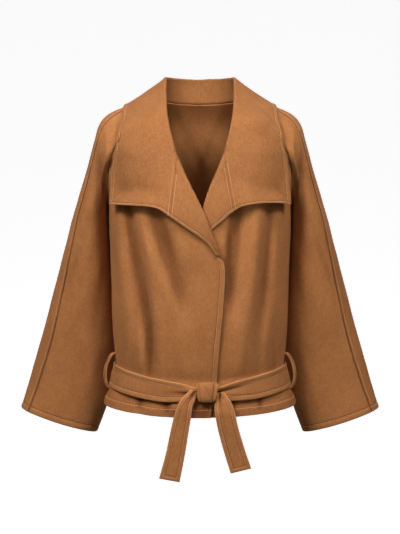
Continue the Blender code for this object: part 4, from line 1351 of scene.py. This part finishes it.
def build_belt():
    margin = size("belt_margin")
    span = torso(BELT_Z)["span_front"]
    right_end, left_end = (section_angle(KNOT_CENTRE[0] + off, span) for off in (-5, 5))
    line = [("front", angle) for angle in np.linspace(right_end, 0, 110)]
    line += [("back", angle) for angle in np.linspace(0, math.pi, 120)[1:-1]]
    line += [("front", angle) for angle in np.linspace(math.pi, left_end, 100)]
    grid = np.array([[belt_point(face, angle, share) for share in np.linspace(-1, 1, 15)]
                     for face, angle in line])
    steps = (0, 0.7, 1.8, 3.8, margin - 2.6, margin - 1.1, margin, margin + 1.1, margin + 2.8)
    grid, facing = spaced(grid, 1, steps, steps, TIE_POINTS), (0, 1, 0)
    row, along = arc(grid, 1), arc(grid, 0)
    side, share = from_sides(row), row / row[:, -1:] * 2 - 1
    to_knot = np.minimum(along, along[-1:] - along)
    left_half = along > along[-1:] / 2
    pinch = bell(to_knot, 42.0, 1.5)
    pleat = np.where(left_half, 0.16 + 0.25 * to_knot / 80, -0.08 - 0.2 * to_knot / 80)
    gathers = pinch * sum(rise * bell(share - pleat - at, width)
                          for at, width, rise in BELT_GATHERS)
    second = 1.5 * bell(share - 0.72 * pleat - 0.1, 0.1) * bell(to_knot - 45, 26)
    height = turned_edge(side, margin) + gathers - second + unevenness(grid, 7, 0.7, 0.25)
    shape, normal = finished(grid, facing, height)
    # Painted shade beside the stitches and in the pleat beside the knot.
    sink = np.maximum(groove_shade(side, margin), bell(share - pleat, 0.13) * pinch ** 0.5)
    # The belt's colours are scaled by 0.9: painted shade against the light on its upturned half.
    piece = cloth("belt_band", shape, facing, suede("suede_belt", 0.9), BELT_WALL,
                  bell(side, 1.5), sink)
    row = steps.index(margin)
    declare(piece, "belt_band", picked(shape, normal, np.s_[2:-2, row], np.s_[2:-2, -1 - row]))


def build_knot():
    """The knot: the belt's wrap over its gathered ends, rolled in at both sides."""
    across = np.linspace(-1, 1, KNOT_STATIONS - 2 * len(KNOT_END))
    stations = [*KNOT_END, *((s, 1 - 0.1 * abs(s) ** 3.2) for s in across),
                *((-s, girth) for s, girth in KNOT_END[::-1])]
    angles = np.linspace(0, 2 * math.pi, KNOT_TURNS, endpoint=False)
    cosine, sine = np.cos(angles), np.sin(angles)
    deep, high = (np.copysign(np.abs(part) ** (2 / KNOT_ROUNDNESS), part) * span / 2
                  for part, span in ((cosine, KNOT_SIZE[1]), (sine, KNOT_SIZE[2])))
    narrow = 1 - KNOT_TAPER * ((1 - sine) / 2) ** 1.3
    rows = []
    for across, girth in stations:
        x = across * KNOT_SIZE[0] / 2 * narrow + KNOT_LEAN * high
        crease = sum(depth * bell(x - at - lean * high, width)
                     for at, lean, width, depth, *_ in KNOT_CREASES)
        push = (bell(x + 2, 9.0) - crease) * np.maximum(-cosine, 0.0) * girth
        rows.append(np.column_stack([x, deep * girth - push,
                                     high * girth - 0.8 * abs(across) * (sine > 0)]))
    grid = np.array(rows) + KNOT_CENTRE
    corner = np.arange(grid[..., 0].size).reshape(grid.shape[:2])
    mesh = bpy.data.meshes.new("suede_belt_knot")
    mesh.from_pydata([tuple(point) for point in grid.reshape(-1, 3) * MM], [],
                     grid_faces(np.concatenate([corner, corner[:, :1]], axis=1), 1))
    shape = bmesh.new()
    shape.from_mesh(mesh)
    bmesh.ops.remove_doubles(shape, verts=shape.verts, dist=1e-6)
    bmesh.ops.recalc_face_normals(shape, faces=shape.faces)
    shape.to_mesh(mesh)
    shape.free()
    mesh.shade_smooth()
    spots = np.empty(len(mesh.vertices) * 3, np.float32)
    mesh.vertices.foreach_get("co", spots)
    x, y, z = (spots.reshape(-1, 3) / MM - KNOT_CENTRE).T
    # Painted shade in the knot's creases, on its front only.
    shade = np.maximum.reduce([
        dark * bell(x - at - lean * z, reach) * (np.abs(z) < limit)
        for at, lean, _, _, dark, reach, limit in KNOT_CREASES])
    store(mesh, "edge", np.zeros_like(x))
    store(mesh, "sink", shade * (y < 0))
    mesh.materials.append(suede("suede_tie", 0.98))
    piece = placed("suede_belt_knot", mesh)
    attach(piece, "root")
    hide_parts("belt_knot")


def build_tails():
    margin = size("tail_margin")
    steps = (0, 0.7, 1.8, 3.4, margin - 1.4, margin, margin + 1.4)
    facing = (0, -1, 0)
    for side, curl in FLIP.items():
        rows = smooth_rows(TAILS[side], 90)
        left, right = rows[:, None, (0, 4, 2)], rows[:, None, (1, 4, 3)]
        grid = left + (right - left) * np.linspace(0, 1, 12)[:, None]
        grid = spaced(grid, 1, steps, steps, TIE_POINTS)
        grid = spaced(grid, 0, (0, 1.0), steps, TAIL_POINTS)
        row, column = arc(grid, 1), arc(grid, 0)
        near, share = np.minimum(from_sides(row), column[-1:] - column), row / row[:, -1:] * 2 - 1
        top = bell(column, 48.0, 1.6)
        ridge = top * sum(rise * bell(share - at * curl, width)
                          for at, width, rise in TAIL_RIDGES)
        twist = 1.6 * share * np.sin(column / 46.0) * ramp(column, 0, 60)
        height = (turned_edge(near, margin) * ramp(row[:, -1:], 14, 30) + ridge + twist
                  + unevenness(grid, 8 + curl, 0.8, 0.25))
        shape, normal = finished(grid, facing, height)
        # Painted shade beside the stitches and in the crease between the two strands at the top.
        sink = np.maximum(groove_shade(near, margin, 1.15), 0.7 * bell(share - 0.28 * curl, 0.12) * top)
        piece = cloth("belt_tail_" + side, shape, facing, suede("suede_tie", 0.98), BELT_WALL,
                      bell(near, 1.5), sink)
        one = steps.index(margin)
        two, end = grid.shape[1] - 1 - one, grid.shape[0] - 1 - one
        path, off = (np.vstack([form[8:end, one], form[end, one:two], form[end:8:-1, two]])
                     for form in (shape, normal))
        declare(piece, "belt_tail_" + side, [(path, off)])


def build_loops():
    half = LOOP_WIDTH / 2
    rim = (half, half - 0.5, half - 1.4, half - 2.6)
    across = (*[-spot for spot in rim], -1.5, 0, 1.5, *rim[::-1])
    for side, flip in FLIP.items():
        grid = turned(np.array([[(x - LOOP_SLANT * y, LOOP_Y + y, z) for y in across]
                                for x, z in smooth_rows(LOOP_PATH, 60)]), side)
        facing, row = (-flip, 0, 0), arc(grid, 1)
        near = from_sides(row)
        height = 0.5 * np.sin(math.pi * row / row[:, -1:]) - 0.7 * bell(near, 0.7)
        shape, normal = finished(grid, facing, height)
        piece = cloth("belt_loop_" + side, shape, facing, suede("suede_belt", 0.9), LOOP_WALL,
                      bell(near, 0.9), np.zeros_like(near))
        declare(piece, "belt_loop_" + side, picked(shape, normal, np.s_[2:-2, 3], np.s_[2:-2, 7]))


# The studio.

def swept(name, rows, material):
    mesh = bpy.data.meshes.new(name)
    verts = [(x, y, z) for y, z in rows for x in (-5.0, 5.0)]
    faces = [(2 * r, 2 * r + 1, 2 * r + 3, 2 * r + 2) for r in range(len(rows) - 1)]
    mesh.from_pydata(verts, [], faces)
    mesh.shade_smooth()
    mesh.materials.append(material)
    placed(name, mesh)


def aimed(lamp, spot, target):
    """Put a lamp at a spot, turned to its target."""
    lamp = placed(lamp.name, lamp)
    lamp.location = spot
    lamp.rotation_euler = (Vector(target) - lamp.location).to_track_quat("-Z", "Y").to_euler()


def build_stage():
    """Pale floor, a lit backdrop behind it, soft lights, and the camera."""
    swept("floor", ((-4.5, -1.9), (4.0, -1.9)),
          cloudy_material("pale_floor", (0.65, 0.65, 0.65), 0.98, 3.0, 0.9))
    swept("backdrop", smooth_rows(BACKDROP, 40),
          cloudy_material("pale_backdrop", (0.5, 0.5, 0.5), 0.98, 3.0, 0.9, 0.9))
    scene = bpy.context.scene
    scene.world = bpy.data.worlds.new("studio")
    scene.world.use_nodes = True
    tree = scene.world.node_tree
    feed(tree, tree.nodes["Background"], {"Color": (1, 1, 1, 1), "Strength": 0.02})
    for name, spot, width, height, spread, power in SOFT_LAMPS:
        light = bpy.data.lights.new(name, "AREA")
        light.shape = "RECTANGLE"
        light.size, light.size_y = width, height
        light.energy, light.spread = power, math.radians(spread)
        aimed(light, spot, SOFT_TARGET)
    for spot, spread, soft, power in NECK_LAMPS:
        light = bpy.data.lights.new("neck", "SPOT")
        light.spot_size, light.spot_blend = math.radians(spread), 1.0
        light.shadow_soft_size, light.energy = soft, power
        aimed(light, spot, NECK_TARGET)
    camera = bpy.data.cameras.new("camera")
    camera.angle = 2 * math.atan(VIEW_HALF / VIEW_FOCUS)
    eye = placed("camera", camera)
    eye.location = EYE
    eye.rotation_euler = (math.pi / 2 - math.atan(VIEW_DROP / VIEW_FOCUS), 0, 0)
    scene.camera = eye
    scene.view_settings.view_transform = "Standard"


# Settings, operators and panel.

def length(name, description, default):
    return bpy.props.FloatProperty(name=name, description=description, default=default,
                                   min=0.0, unit="LENGTH", subtype="DISTANCE", precision=4)


def colour(name, description, default):
    return bpy.props.FloatVectorProperty(name=name, description=description, default=default,
                                         subtype="COLOR", size=3, min=0.0, max=1.0)


class JacketSizes(bpy.types.PropertyGroup):
    wall: length("Suede", "Thickness of the suede", 0.0018)
    edge_margin: length("Front edge", "Front edge to its stitches", 0.009)
    hem_margin: length("Hem", "Hem to its stitches", 0.016)
    cuff_margin: length("Cuff", "Cuff to its stitches", 0.0115)
    collar_margin: length("Collar", "Collar's edge to its stitches", 0.010)
    belt_margin: length("Belt", "Belt's edge to its stitches", 0.009)
    tail_margin: length("Belt end", "Edge of the belt's ends to their stitches", 0.007)
    stitch_pitch: length("Stitch pitch", "From one stitch to the next", 0.0034)
    stitch_length: length("Stitch length", "Length of one stitch", 0.0027)
    thread_thickness: length("Thread", "Thickness of the sewing thread", 0.0013)


class SuedeLook(bpy.types.PropertyGroup):
    light: colour("Light", "Nap brushed towards the light", (0.43, 0.170, 0.054))
    dark: colour("Dark", "Nap brushed away", (0.225, 0.080, 0.023))
    worn: colour("Worn", "Turned edges, where the nap is rubbed", (0.56, 0.26, 0.105))
    thread: colour("Thread", "Sewing thread", (0.64, 0.34, 0.145))
    sheen: bpy.props.FloatProperty(name="Sheen", description="Soft shine of the nap",
                                   default=0.05, min=0.0, max=1.0)


class JACKET_OT_body(bpy.types.Operator):
    """Cut and sew the fronts and the back"""
    bl_idname = "jacket.body"
    bl_label = "Body"

    def execute(self, context):
        build_body()
        return {"FINISHED"}


class JACKET_OT_sleeves(bpy.types.Operator):
    """Cut and sew the raglan sleeves"""
    bl_idname = "jacket.sleeves"
    bl_label = "Sleeves"

    def execute(self, context):
        build_sleeves()
        return {"FINISHED"}


class JACKET_OT_wings(bpy.types.Operator):
    """Fold the collar and the lapels"""
    bl_idname = "jacket.wings"
    bl_label = "Collar and lapels"

    def execute(self, context):
        build_wings()
        return {"FINISHED"}


class JACKET_OT_neck_tape(bpy.types.Operator):
    """Sew the tape over the neck seam"""
    bl_idname = "jacket.neck_tape"
    bl_label = "Neck tape"

    def execute(self, context):
        build_neck_tape()
        return {"FINISHED"}


class JACKET_OT_belt(bpy.types.Operator):
    """Put the belt round the waist"""
    bl_idname = "jacket.belt"
    bl_label = "Belt"

    def execute(self, context):
        build_belt()
        return {"FINISHED"}


class JACKET_OT_knot(bpy.types.Operator):
    """Tie the knot and hang the belt's ends from it"""
    bl_idname = "jacket.knot"
    bl_label = "Knot and ends"

    def execute(self, context):
        build_knot()
        build_tails()
        return {"FINISHED"}


class JACKET_OT_loops(bpy.types.Operator):
    """Sew the belt carriers to the side seams"""
    bl_idname = "jacket.loops"
    bl_label = "Belt carriers"

    def execute(self, context):
        build_loops()
        return {"FINISHED"}


class JACKET_OT_stage(bpy.types.Operator):
    """Set the floor, the lights and the camera"""
    bl_idname = "jacket.stage"
    bl_label = "Studio"

    def execute(self, context):
        build_stage()
        return {"FINISHED"}


OPERATORS = (
    JACKET_OT_sleeves, JACKET_OT_body, JACKET_OT_wings, JACKET_OT_neck_tape, JACKET_OT_belt,
    JACKET_OT_knot, JACKET_OT_loops, JACKET_OT_stage)


class JACKET_PT_panel(bpy.types.Panel):
    bl_label = "Suede jacket"
    bl_idname = "JACKET_PT_panel"
    bl_space_type = "VIEW_3D"
    bl_region_type = "UI"
    bl_category = "Jacket"

    def draw(self, context):
        for settings in (context.scene.jacket_sizes, context.scene.suede_look):
            for name in settings.__annotations__:
                self.layout.prop(settings, name)
        for operator in OPERATORS:
            self.layout.operator(operator.bl_idname)


CLASSES = (JacketSizes, SuedeLook, *OPERATORS, JACKET_PT_panel)


def register():
    for kind in CLASSES:
        bpy.utils.register_class(kind)
    bpy.types.Scene.jacket_sizes = bpy.props.PointerProperty(type=JacketSizes)
    bpy.types.Scene.suede_look = bpy.props.PointerProperty(type=SuedeLook)


def unregister():
    del bpy.types.Scene.suede_look
    del bpy.types.Scene.jacket_sizes
    for kind in reversed(CLASSES):
        bpy.utils.unregister_class(kind)


def main():
    register()
    for operator in OPERATORS:
        group, name = operator.bl_idname.split(".")
        getattr(getattr(bpy.ops, group), name)()


if __name__ == "__main__":
    main()
